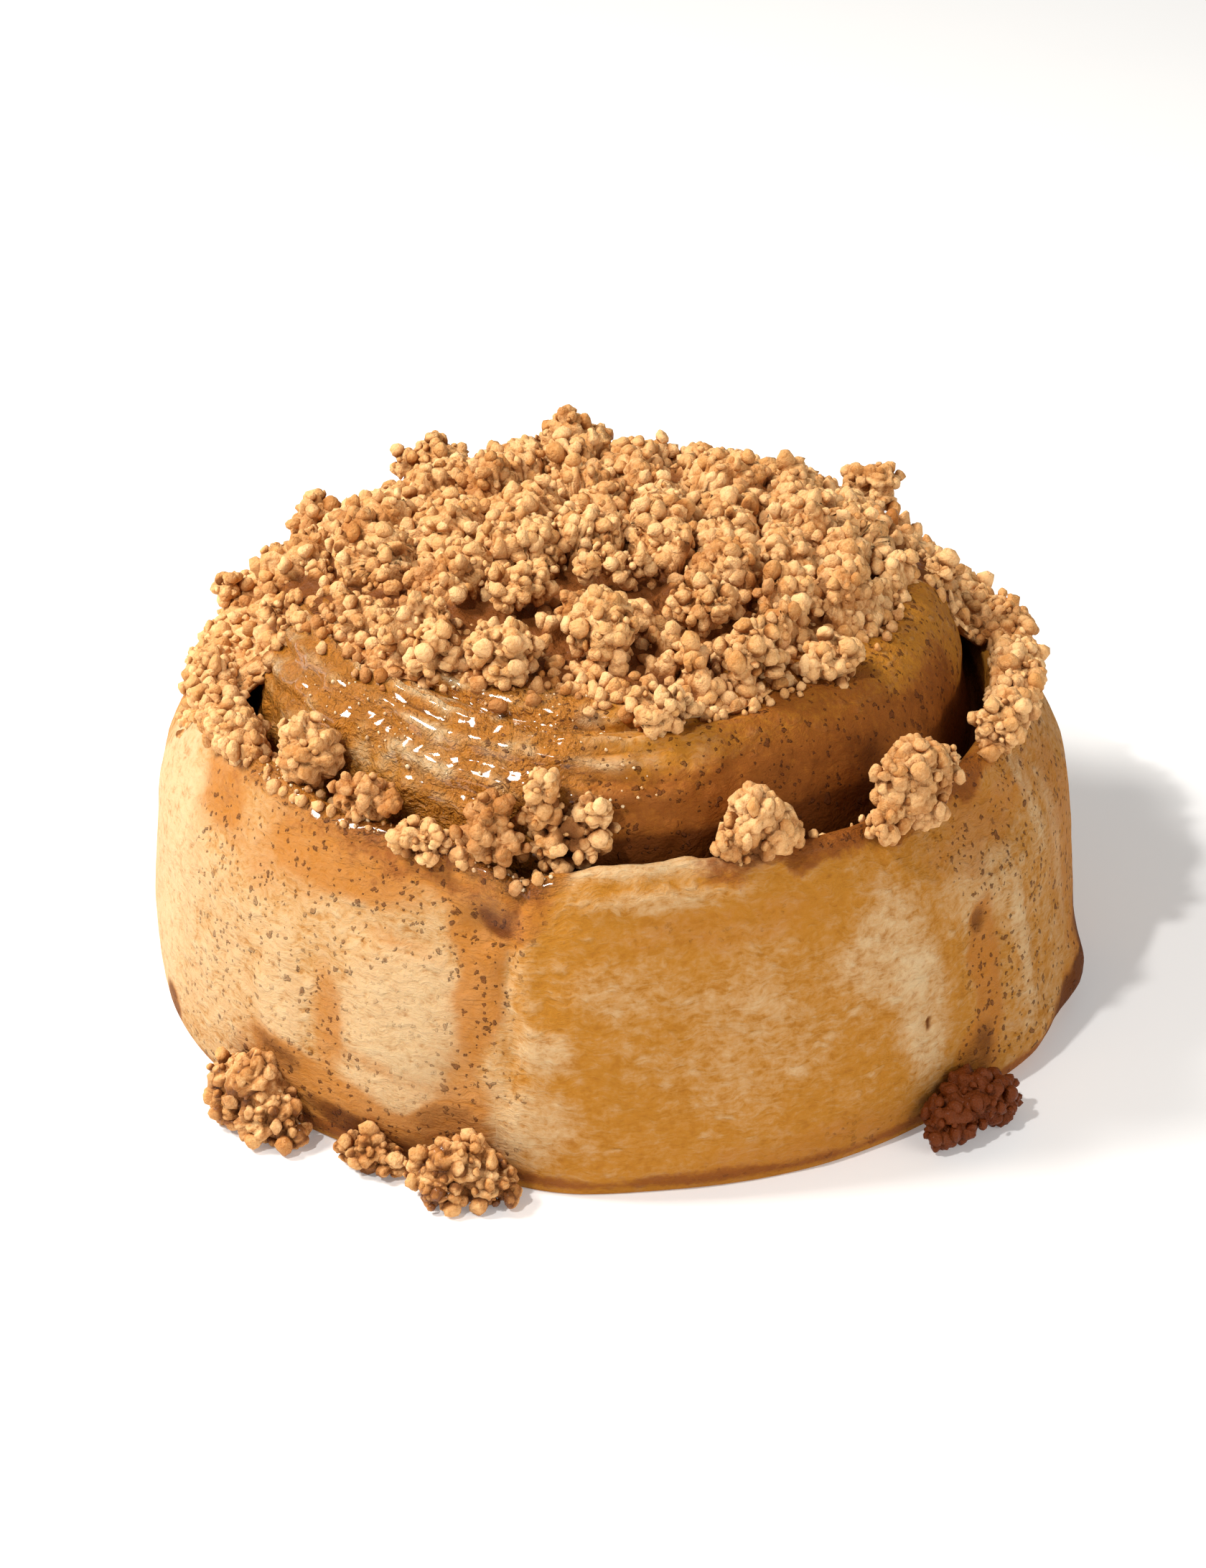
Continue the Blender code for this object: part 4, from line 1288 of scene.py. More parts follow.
class LooseLump(Enum):
    """Lumps that stand apart, each a solid of the same name: the six numbers, then its lobes."""

    RIM_LUMP_1 = (
        (221.5, 41.0, 38.2, 7.0, 6.8, 8.4),
        ((-0.6, 0, 1.5, 2.4), (0.9, 0, 0.2, 2.5), (-0.9, 0, -1.4, 2.3), (0.8, 0.2, -2.1, 1.8)),
    )
    RIM_LUMP_2 = (
        (235.0, 42.2, 37.0, 8.4, 6.0, 5.6),
        ((-2.0, 0, 0, 2.0), (0.6, 0, 0.4, 2.2), (2.6, 0, 0.5, 1.4), (-0.8, 1.0, -1.3, 1.2)),
    )
    RIM_LUMP_3 = (
        (245.0, 44.4, 35.8, 7.0, 5.0, 4.8),
        ((-1.7, 0, -0.2, 1.6), (0.2, 0, 0.3, 1.8), (1.9, 0, 0.6, 1.3), (1.3, 0.5, -1.0, 1.2)),
    )
    RIM_LUMP_4 = (
        (254.2, 43.2, 37.8, 8.0, 7.0, 9.0),
        ((0.2, 0, 2.1, 2.1), (-0.9, 0.2, -0.3, 2.5), (1.1, 0.2, -1.0, 2.5), (-2.4, 0.8, -2.6, 1.3)),
    )
    RIM_LUMP_5 = (
        (264.2, 42.0, 38.6, 9.6, 7.6, 11.4),
        (
            (-2.6, 0, 3.7, 1.7),
            (-2.4, 0, 0.9, 1.9),
            (-1.8, 0.5, -1.9, 1.9),
            (-1.1, 1.1, -4.2, 1.3),
            (2.3, 0.3, 1.7, 1.5),
            (3.0, 0.3, -0.7, 1.5),
            (1.8, 0.6, -2.6, 1.6),
            (0.4, -0.8, -0.6, 1.9),
        ),
    )
    RIM_LUMP_6 = (
        (288.7, 43.4, 37.6, 10.0, 7.8, 8.4),
        (
            (-0.3, 0, 1.2, 2.6),
            (1.5, 0.2, -0.4, 2.4),
            (-2.4, 0.4, -0.8, 2.0),
            (-2.0, 0.6, -2.3, 1.4),
            (3.2, 0.2, -1.3, 1.4),
        ),
    )
    RIM_LUMP_7 = (
        (310.6, 45.0, 38.4, 13.0, 9.2, 10.4),
        (
            (0.6, 0, 1.5, 3.1),
            (3.0, 0, 0.2, 2.7),
            (-1.5, 0.3, -0.5, 2.6),
            (-4.2, 1.0, -2.5, 1.7),
            (4.8, 0.2, 1.3, 1.2),
            (-2.8, 0.2, 2.1, 1.5),
            (1.4, 1.2, -1.9, 2.0),
        ),
    )
    FOOT_LUMP_1 = (
        (226.0, 52.6, 4.0, 15.0, 9.6, 10.6),
        (
            (0, -0.6, 1.4, 3.0),
            (-3.5, -0.2, 0.2, 2.6),
            (3.2, -0.4, -0.6, 2.6),
            (-5.2, 0, -1.7, 1.6),
            (5.2, 0, -2.2, 1.6),
            (-1.6, 0.9, -1.4, 2.6),
            (2.0, 1.0, -1.8, 2.2),
        ),
    )
    FOOT_LUMP_2 = (
        (241.8, 51.2, 2.2, 9.0, 6.6, 5.4),
        ((0, 0.2, 0.1, 1.8), (-2.4, 0.2, -0.3, 1.5), (2.4, 0.2, -0.5, 1.4)),
    )
    FOOT_LUMP_3 = (
        (253.2, 52.4, 3.2, 13.4, 10.4, 8.8),
        (
            (0, 0.2, 0.5, 3.0),
            (-3.3, 0.2, -0.4, 2.3),
            (3.0, 0.2, -0.5, 2.4),
            (1.4, -0.4, 2.3, 1.4),
            (4.7, 0.4, -1.3, 1.4),
            (-1.2, 1.8, -1.3, 2.2),
        ),
    )
    FOOT_LUMP_4 = (
        (313.5, 53.6, 3.4, 14.0, 9.4, 8.8),
        (
            (0, -0.2, 0.7, 2.9),
            (-3.3, -0.2, 0, 2.5),
            (3.2, 0, -0.7, 2.4),
            (5.0, 0, -1.7, 1.4),
            (-5.0, -0.2, -1.3, 1.4),
        ),
    )

    @property
    def node(self) -> str:
        """Name of the solid that this lump stands for."""
        return self.name.lower()

    def plan(self) -> ClumpPlan:
        """Its place, size and lobes."""
        place, lobes = self.value
        return ClumpPlan(*place, lobes)


@dataclass
class StreuselHeap:
    """The heap: a wet sheet with mounds, two arms along the rim, and crumbs on all of them.

    Attributes:
        shape: the ground it lies on.
        thickness: how far the sheet stands over the ground.
        rows: rings of the sheet.
        columns: points in each ring.
        arms: first angle, last angle, radius, half the width and half the height of each arm.
        arm_rings: rings of an arm.
        arm_columns: points in each of them.
        draws: places tried for crumbs on the sheet.
        arm_draws: places tried on each arm.
        dome_radius: clumps nearer the axis than this have a bare gap round them.
        ceiling: height above which the mounds are flattened.
        headroom: how far over the ceiling they still reach.
    """

    shape: HeapShape
    thickness: float = 0.5
    rows: int = 114
    columns: int = 760
    arm_rings: int = 110
    arm_columns: int = 42
    draws: int = 11000
    arm_draws: int = 700
    dome_radius: float = 36.0
    ceiling: float = 50.8
    headroom: float = 1.7
    arms: tuple[tuple[float, float, float, float, float], ...] = (
        (-28.0, 19.0, 43.0, 2.0, 1.7),
        (176.0, 211.5, 42.6, 2.2, 1.9),
    )

    def _knobbed(self, grid: Array, knob: float) -> tuple[Array, dict[str, Array]]:
        """A grid of rings with knobs of crumb on it, moved out along its normals.

        Args:
            grid: the rings.
            knob: height of the knobs at each point, as a share of full height.

        Returns:
            The rings, and marks crevice and tint.
        """
        lift, crevice, number = SHEET_KNOBS.cover(grid, 41)
        lift = lift * knob
        return grid + grid_normals(grid) * lift[..., None], {"crevice": crevice, "tint": 0.15 + 0.7 * number}

    def _halo(self, grid: Array) -> Array:
        """0 close round each large clump on the dome, and 1 away from them all."""
        free = np.ones(grid.shape[:-1])
        for member in HeapClump:
            plan = ClumpPlan(*member.value)
            if plan.radius < self.dome_radius:
                away = np.linalg.norm((grid - plan.middle())[..., :2], axis=-1) / (0.25 * (plan.width + plan.depth))
                free = free * np.clip((away - 1.15) / 0.45, 0.0, 1.0)
        return free

    def _sheet_grid(self) -> tuple[Array, dict[str, Array]]:
        """Rings from under the sheet out to its edge and back over its mounds.

        The mounds are steep half balls of two sizes on scattered points, each with a height of its
        own, over a slow swell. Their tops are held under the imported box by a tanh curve.

        Returns:
            The rings, and marks crevice, tint and soak.
        """
        theta = np.arange(self.columns) * 360.0 / self.columns
        edge = self.shape.edge(theta)
        inwards = (1.0 - (np.arange(self.rows) + 0.4) / self.rows) ** 0.8
        shares = np.concatenate([[0.3, 0.7, 0.97], inwards])
        radius = shares[:, None] * edge
        angle = np.broadcast_to(theta, radius.shape)
        ground = self.shape.ground(radius.ravel(), angle.ravel()).reshape(radius.shape)
        turn = np.radians(angle)
        grid = np.stack([radius * np.cos(turn), radius * np.sin(turn), ground], -1)
        push = np.stack([Field(3.6, seed).rough(grid, 2) for seed in (36, 37, 38)], -1)
        plan = (grid + 1.5 * push) * np.array([1.0, 1.0, 0.0]) + np.array([0.0, 0.0, 3.6])
        near, second, number = Field(7.2, 31).balls(plan)
        parted = np.clip((second - near - 0.04 - 0.16 * np.clip(push[..., 0] + 0.5, 0.0, 1.0)) / 0.34, 0.0, 1.0)
        small, _, _ = Field(3.6, 35).balls(grid + 0.8 * push)
        behind = band(angle, 10.0, 170.0, 12.0) * np.clip((radius - 22.0) / 8.0, 0.0, 1.0)
        on_rim = np.maximum(np.clip((radius - 33.5) / 4.0, 0.0, 1.0), behind)
        mound = (3.0 + 2.6 * number) * (1.0 - 0.9 * near**2) * parted**0.45
        mound = mound + 0.9 * np.clip(1.0 - (small / 0.56) ** 2, 0.0, 1.0) ** 0.45
        mound = mound * (1.0 - 0.80 * on_rim) * self._halo(grid)
        taper = 1.0 - np.clip(radius / edge, 0.0, 1.0) ** 16
        lift = (self.thickness + 0.4 * Field(9.0, 33).smooth(grid) + mound) * taper
        lift[:3] = 0.0
        grid = grid + grid_normals(grid) * (lift - 0.15)[..., None]
        over = np.maximum(grid[..., 2] - self.ceiling, 0.0)
        grid[..., 2] += self.headroom * np.tanh(over / self.headroom) - over
        # Low ground between the mounds is marked as crevice and as soaked: painted shade there, along with the wet
        # glaze that lies in it.
        valley = np.clip((1.9 - 1.6 * on_rim - mound) / 1.1, 0.0, 1.0)
        valley = valley * np.clip((edge - radius - 0.5) / 2.0, 0.0, 1.0)
        knob = (1.0 - 0.75 * valley) * taper
        knob[:3] = 0.0
        grid, marks = self._knobbed(grid, knob)
        marks["crevice"] = np.maximum(marks["crevice"], valley)
        marks["soak"] = np.maximum(soak_at(grid, 0.40), valley)
        grid[:3, :, 2] -= 1.0
        return grid, marks

    def _arm_grid(self, arm: tuple[float, float, float, float, float]) -> tuple[Array, dict[str, Array]]:
        """Rings round an arm's middle line, which shrink to nothing at its ends.

        Args:
            arm: its numbers.

        Returns:
            The rings, and marks crevice, tint and soak.
        """
        start, end, middle, wide, tall = arm
        share = np.linspace(-1.0, 1.0, self.arm_rings)
        theta = (start + (end - start) * (share + 1.0) / 2.0)[:, None]
        around = (-np.arange(self.arm_columns) / self.arm_columns * math.tau)[None]
        full = np.sqrt(np.clip(1.0 - share**4, 0.02, 1.0))[:, None]
        level = self.shape.roll.rim(theta) + 0.3
        turn = np.radians(theta)
        places = np.broadcast_arrays(middle * np.cos(turn), middle * np.sin(turn), 2.0 * np.cos(around))
        lumpy = 1.0 + 0.30 * Field(4.5, 61).smooth(np.stack(places, -1))
        out = middle + wide * full * lumpy * np.cos(around)
        grid = np.stack([out * np.cos(turn), out * np.sin(turn), level + tall * full * lumpy * np.sin(around)], -1)
        grid, marks = self._knobbed(grid, np.broadcast_to(full, grid.shape[:2]))
        marks["soak"] = soak_at(grid, 0.45)
        return grid, marks

    def _closed(self, grid: Array, marks: dict[str, Array]) -> Surface:
        """A grid of rings closed at its ends."""
        points = np.concatenate([grid.reshape(-1, 3), [grid[0].mean(axis=0), grid[-1].mean(axis=0)]])
        marks = {name: np.append(numbers.ravel(), [0.5, 0.5]) for name, numbers in marks.items()}
        return Surface(points, ring_faces(*grid.shape[:2]), marks)

    def sheet(self) -> Surface:
        """The wet sheet with its mounds, and the arms, all covered in knobs of crumb."""
        grids = [self._sheet_grid()] + [self._arm_grid(arm) for arm in self.arms]
        return Surface.joined([self._closed(grid, marks) for grid, marks in grids])

    def grains(self) -> Balls:
        """Crumbs on the sheet and the arms, but for the deepest places between mounds."""
        rng = np.random.default_rng(51)
        grid, marks = self._sheet_grid()
        wanted = (1.0 - 0.93 * (marks["crevice"] > 0.9)) * np.ones(grid.shape[:2])
        wanted[:3] = 0.0
        grounds = [Ground.of_grid(grid, grid_normals(grid), wanted, self.draws, rng)]
        for arm in self.arms:
            grid, _ = self._arm_grid(arm)
            normals = grid_normals(grid)
            upward = (normals[..., 2] > -0.4) * 1.0
            grounds.append(Ground.of_grid(grid, normals, upward, self.arm_draws, rng))
        columns = ("points", "outward", "soak")
        joined = [np.concatenate([getattr(ground, name) for ground in grounds]) for name in columns]
        order = rng.permutation(len(joined[0]))
        every = Ground(*(column[order] for column in joined))
        return every.strew(0.75, 1.9, slope=2.6, gap=0.98, sink=0.95, seed=52)


class Graph:
    """A material's nodes, written as Python expressions.

    Attributes:
        material: the material.
        shader: its Principled node.
    """

    def __init__(self, name: str) -> None:
        """Starts a material with one Principled node.

        Args:
            name: name of the material.
        """
        self.material = bpy.data.materials.new(name)
        self.material.use_nodes = True
        self.tree = self.material.node_tree
        self.shader = self.tree.nodes["Principled BSDF"]

    def node(self, kind: str, settings: dict | None = None, inputs: dict | None = None) -> bpy.types.Node:
        """Adds one node.

        Args:
            kind: the node's type.
            settings: its properties, set before its sockets.
            inputs: a value, a socket or an expression for each socket's name or number.

        Returns:
            The new node.
        """
        made = self.tree.nodes.new(kind)
        for name, value in (settings or {}).items():
            setattr(made, name, value)
        for name, value in (inputs or {}).items():
            self.feed(made.inputs[name], value)
        return made

    def feed(self, socket: bpy.types.NodeSocket, value: object) -> None:
        """Links an expression or another socket to a socket, or sets its value."""
        if isinstance(value, Term):
            value = value.socket
        if isinstance(value, bpy.types.NodeSocket):
            self.tree.links.new(value, socket)
        elif isinstance(value, tuple) and len(value) == 3 and socket.type == "RGBA":
            socket.default_value = (*value, 1.0)
        else:
            socket.default_value = value

    def mark(self, name: str) -> "Term":
        """A named number from the mesh."""
        made = self.node("ShaderNodeAttribute", {"attribute_name": name})
        return Term(self, made.outputs["Fac"])

    def place(self) -> bpy.types.NodeSocket:
        """Object coordinates in millimetres."""
        source = self.node("ShaderNodeTexCoord")
        inputs = {"Vector": source.outputs["Object"], "Scale": (1.0 / MM,) * 3}
        return self.node("ShaderNodeMapping", {}, inputs).outputs["Vector"]

    def skin(self) -> bpy.types.NodeSocket:
        """The mesh's own texture coordinates in millimetres."""
        return self.node("ShaderNodeUVMap", {"uv_map": "skin"}).outputs["UV"]

    def stretched(self, where: bpy.types.NodeSocket, scale: tuple[float, float, float]) -> bpy.types.NodeSocket:
        """Coordinates multiplied by a number along each axis."""
        settings = {"operation": "MULTIPLY"}
        return self.node("ShaderNodeVectorMath", settings, {0: where, 1: scale}).outputs["Vector"]

    def warped(self, where: bpy.types.NodeSocket, size: float, reach: float) -> bpy.types.NodeSocket:
        """Coordinates pushed about by noise of a size, by up to half a reach, both in millimetres."""
        inputs = {"Vector": where, "Scale": 1.0 / size, "Detail": 2.0}
        push = self.node("ShaderNodeTexNoise", {}, inputs).outputs["Color"]
        inputs = {0: push, 1: (reach * 2.0,) * 3, 2: where}
        return self.node("ShaderNodeVectorMath", {"operation": "MULTIPLY_ADD"}, inputs).outputs["Vector"]

    def noise(self, where: bpy.types.NodeSocket, size: float, detail: float = 3.0, rough: float = 0.55) -> "Term":
        """Cloudy noise with features of a size in millimetres, about 0 to 1."""
        inputs = {"Vector": where, "Scale": 1.0 / size, "Detail": detail, "Roughness": rough}
        return Term(self, self.node("ShaderNodeTexNoise", {}, inputs).outputs["Fac"])

    def cells(self, where: bpy.types.NodeSocket, size: float) -> tuple["Term", "Term"]:
        """Distance to the nearest of points scattered a size apart, and a random number for it."""
        made = self.node("ShaderNodeTexVoronoi", {}, {"Vector": where, "Scale": 1.0 / size})
        number = self.node("ShaderNodeSeparateColor", {}, {"Color": made.outputs["Color"]})
        return Term(self, made.outputs["Distance"]), Term(self, number.outputs["Red"])

    def mix(self, share: object, first: object, second: object) -> bpy.types.NodeSocket:
        """A blend of two colours."""
        made = self.node("ShaderNodeMix", {"data_type": "RGBA"})
        self.feed(made.inputs["Factor"], share)
        for socket, colour in ((made.inputs[6], first), (made.inputs[7], second)):
            self.feed(socket, colour)
        return made.outputs[2]

    def relief(self, height: "Term", depth: float, below: object = None) -> bpy.types.NodeSocket:
        """A bump of a depth in millimetres, on top of another bump's normal if there is one."""
        inputs = {"Height": height, "Distance": depth * MM, "Strength": 1.0}
        if below is not None:
            inputs["Normal"] = below
        return self.node("ShaderNodeBump", {}, inputs).outputs["Normal"]

    def finish(self, varying: dict[str, object], constant: dict[str, object]) -> bpy.types.Material:
        """Feeds the shader.

        Args:
            varying: expressions for sockets that change over the surface.
            constant: values for the others.

        Returns:
            The material.
        """
        for name, value in {**varying, **constant}.items():
            self.feed(self.shader.inputs[name], value)
        return self.material


@dataclass(frozen=True)
class Term:
    """A number in a material that Python's operators turn into Math nodes.

    Attributes:
        graph: the material's nodes.
        socket: where the number comes from.
    """

    graph: Graph
    socket: bpy.types.NodeSocket

    def _math(self, operation: str, *others: object, first: object = None) -> "Term":
        """A Math node on this number and others, or with another number ahead of it."""
        values = [self, *others] if first is None else [first, self, *others]
        settings = {"operation": operation}
        made = self.graph.node("ShaderNodeMath", settings, dict(enumerate(values)))
        return Term(self.graph, made.outputs[0])

    def __add__(self, other: object) -> "Term":
        """Sum."""
        return self._math("ADD", other)

    def __sub__(self, other: object) -> "Term":
        """Difference."""
        return self._math("SUBTRACT", other)

    def __rsub__(self, other: object) -> "Term":
        """Difference from a number."""
        return self._math("SUBTRACT", first=other)

    def __mul__(self, other: object) -> "Term":
        """Product."""
        return self._math("MULTIPLY", other)

    def above(self, low: float, high: float) -> "Term":
        """0 below one number, 1 above another, smooth between them."""
        settings = {"interpolation_type": "SMOOTHSTEP"}
        inputs = {"Value": self, "From Min": low, "From Max": high}
        return Term(self.graph, self.graph.node("ShaderNodeMapRange", settings, inputs).outputs["Result"])

    def clipped(self) -> "Term":
        """The number held between 0 and 1."""
        made = self.graph.node("ShaderNodeClamp", {}, {"Value": self})
        return Term(self.graph, made.outputs["Result"])


@dataclass(frozen=True)
class DoughFinish:
    """Baked dough: gold, pale where it puffed, brown where it toasted, amber and wet where glazed. Some of the pale
    is a painted highlight on the front lip and the coil's ridges and painted light on the left side; some of the
    brown, amber and dark is painted shade in the groove, the creases, the low coil flank and a fold.
    """

    gold: Colour = (0.405, 0.163, 0.016)
    cream: Colour = (0.585, 0.405, 0.218)
    toast: Colour = (0.22, 0.060, 0.008)
    amber: Colour = (0.395, 0.140, 0.017)
    dark: Colour = (0.100, 0.024, 0.002)
    cinnamon: Colour = (0.110, 0.030, 0.008)

    def build(self) -> bpy.types.Material:
        """The material."""
        graph = Graph("dough_skin")
        where = graph.place()
        cream, toast, glaze = graph.mark("cream"), graph.mark("toast"), graph.mark("glaze")
        dark, wet, speck = graph.mark("dark"), graph.mark("wet"), graph.mark("speck")
        cloud = graph.noise(where, 5.0, 4.0)
        mottle = graph.noise(where, 1.7, 4.0, 0.6)
        fine = graph.noise(where, 0.7, 3.0, 0.65)
        skin = graph.warped(graph.skin(), 3.0, 1.2)
        fibre = graph.noise(graph.stretched(skin, (0.42, 1.4, 1.0)), 1.0, 4.0, 0.65)
        thread = graph.noise(graph.stretched(skin, (0.7, 2.4, 1.0)), 0.7, 3.0, 0.6)
        blob, which = graph.cells(graph.stretched(skin, (0.55, 1.0, 1.0)), 1.5)
        dapple = (1.0 - blob.above(0.14, 0.50)) * which.above(0.45, 0.75)
        grain = (fibre - 0.5) * 0.7 + (thread - 0.5) * 0.45 + dapple * 0.16
        grain = grain + (mottle - 0.5) * 0.7 + (fine - 0.5) * 0.5

        # Pale here is pale dough, and also painted highlight and light on the front lip, the ridge tops and the left
        # side.
        pale = (cream * 0.90 + grain * 1.25 + (cloud - 0.5) * 0.5).above(-0.08, 1.15)
        colour = graph.mix(pale, self.gold, self.cream)
        colour = graph.mix((grain * -1.0).above(0.0, 0.40) * 0.45, colour, self.toast)
        # Amber here is glaze, and also painted shade in the groove, the creases and the low coil flank.
        glaze_and_shade_here = glaze + dark + (cloud - 0.5) * 0.5 + (mottle - 0.5) * 0.7 + (fine - 0.5) * 0.3
        glaze_and_shade_here = glaze_and_shade_here.above(0.10, 0.90)
        colour = graph.mix(glaze_and_shade_here * 0.84, colour, self.amber)
        # Brown here is browning, and also painted shade on the low coil flank.
        toast_and_shade_here = (toast + (mottle - 0.5) * 0.8 + (fine - 0.5) * 1.1).above(0.20, 1.0)
        colour = graph.mix(toast_and_shade_here * 0.85, colour, self.toast)
        # Near black here is dark pockets and caramel, and also painted shade in the groove, the creases and a fold.
        dark_here = (dark + (mottle - 0.5) * 0.4).above(0.25, 0.85)
        colour = graph.mix(dark_here * 0.95, colour, self.dark)
        spots = []
        for size, scarce, reach in ((1.6, 0.60, 0.06), (1.0, 0.66, 0.09), (0.65, 0.72, 0.10)):
            away, kind = graph.cells(graph.warped(where, size * 0.5, size * 0.45), size)
            dot = 1.0 - (away - kind * 0.10).above(reach, reach + 0.12)
            spots.append(dot * kind.above(scarce, scarce + 0.05))
        fleck = ((spots[0] + spots[1] + spots[2]) * (speck + (cloud - 0.5) * 0.8).above(0.1, 0.8)).clipped()
        colour = graph.mix(fleck * 0.75, colour, self.cinnamon)

        low = graph.relief(mottle, 0.22)
        woven = graph.relief(fibre * 0.6 + thread * 0.4, 0.34, low)
        beaded = graph.noise(graph.stretched(skin, (0.8, 1.6, 1.0)), 0.9, 3.0, 0.6)
        dotted = graph.relief(dapple * 0.7 + fine * 0.6, 0.16, woven)
        normal = graph.relief(beaded * wet + fleck * 0.3, 1.1, dotted)
        shine = wet.above(0.1, 0.9)
        varying = {
            "Base Color": colour,
            "Roughness": 0.76 - shine * 0.50 - glaze_and_shade_here * 0.04,
            "Coat Weight": shine * 0.65,
            "Normal": normal,
        }
        constant = {
            "Coat Roughness": 0.08,
            "Subsurface Weight": 0.10,
            "Subsurface Radius": (1.0, 0.45, 0.18),
            "Subsurface Scale": 0.0012,
            "Specular IOR Level": 0.10,
        }
        return graph.finish(varying, constant)


@dataclass(frozen=True)
class StreuselFinish:
    """Crumb streusel: pale tan crumbs, browner where they touch and on their undersides as painted shade, with dark
    glaze in the crevices, and amber where glaze soaked in.

    Attributes:
        name: name of the material.
        soaked: how much glaze is in it, from 0 to 1.
        toasted: how brown it is, from 0 to 1.
        sticky: how far dark glaze stands up between the crumbs.
    """

    name: str
    soaked: float = 0.25
    toasted: float = 0.0
    sticky: float = 0.0
    pale: Colour = (0.88, 0.545, 0.255)
    tan: Colour = (0.58, 0.275, 0.085)
    syrup: Colour = (0.36, 0.120, 0.020)
    crust: Colour = (0.10, 0.026, 0.006)
    scorch: Colour = (0.125, 0.022, 0.003)

    def build(self) -> bpy.types.Material:
        """The material."""
        graph = Graph(self.name)
        where = graph.place()
        crevice, tint, soak = graph.mark("crevice"), graph.mark("tint"), graph.mark("soak")
        cloud = graph.noise(where, 3.2, 3.0)
        fine = graph.noise(where, 0.45, 3.0, 0.7)
        tan_here = (tint * 0.8 + cloud * 0.9 - 0.36 + (fine - 0.5) * 1.0).clipped()
        colour = graph.mix(tan_here, self.pale, self.tan)
        crevice = crevice + (cloud - 0.29) * self.sticky
        syrup_here = (soak * 0.9 + cloud - 1.0 + self.soaked * 1.2 + (fine - 0.5) * 0.4).above(0.0, 0.7)
        colour = graph.mix(syrup_here * 0.8, colour, self.syrup)
        # Crevices turn syrup brown and then near black: painted shade, along with dark glaze between the crumbs.
        colour = graph.mix((crevice + (fine - 0.5) * 0.3).above(0.10, 0.85) * 0.80, colour, self.syrup)
        colour = graph.mix(crevice.above(0.50, 1.0) * 0.75, colour, self.crust)
        if self.toasted > 0.0:
            colour = graph.mix(self.toasted, colour, self.scorch)
        low = graph.relief(graph.noise(where, 1.1, 4.0, 0.65), 0.42)
        normal = graph.relief(fine, 0.20, low)
        wet = (syrup_here + crevice * 0.4).above(0.4, 1.1)
        varying = {
            "Base Color": colour,
            "Roughness": 0.80 - wet * (0.42 + 0.18 * self.sticky),
            "Coat Weight": wet * min(1.0, 0.3 * self.sticky),
            "Normal": normal,
        }
        constant = {
            "Coat Roughness": 0.15,
            "Subsurface Weight": 0.10,
            "Subsurface Radius": (1.0, 0.5, 0.2),
            "Subsurface Scale": 0.0008,
            "Specular IOR Level": 0.10,
        }
        return graph.finish(varying, constant)


@dataclass(frozen=True)
class SugarFinish:
    """Grains of sugar in glaze: pale and glassy."""

    clear: Colour = (0.85, 0.66, 0.40)
    tinged: Colour = (0.45, 0.19, 0.04)

    def build(self) -> bpy.types.Material:
        """The material."""
        graph = Graph("sugar_grains")
        colour = graph.mix(graph.mark("tint"), self.clear, self.tinged)
        normal = graph.relief(graph.noise(graph.place(), 0.35, 2.0), 0.05)
        return graph.finish({"Base Color": colour, "Normal": normal}, {"Roughness": 0.15, "Coat Weight": 1.0})


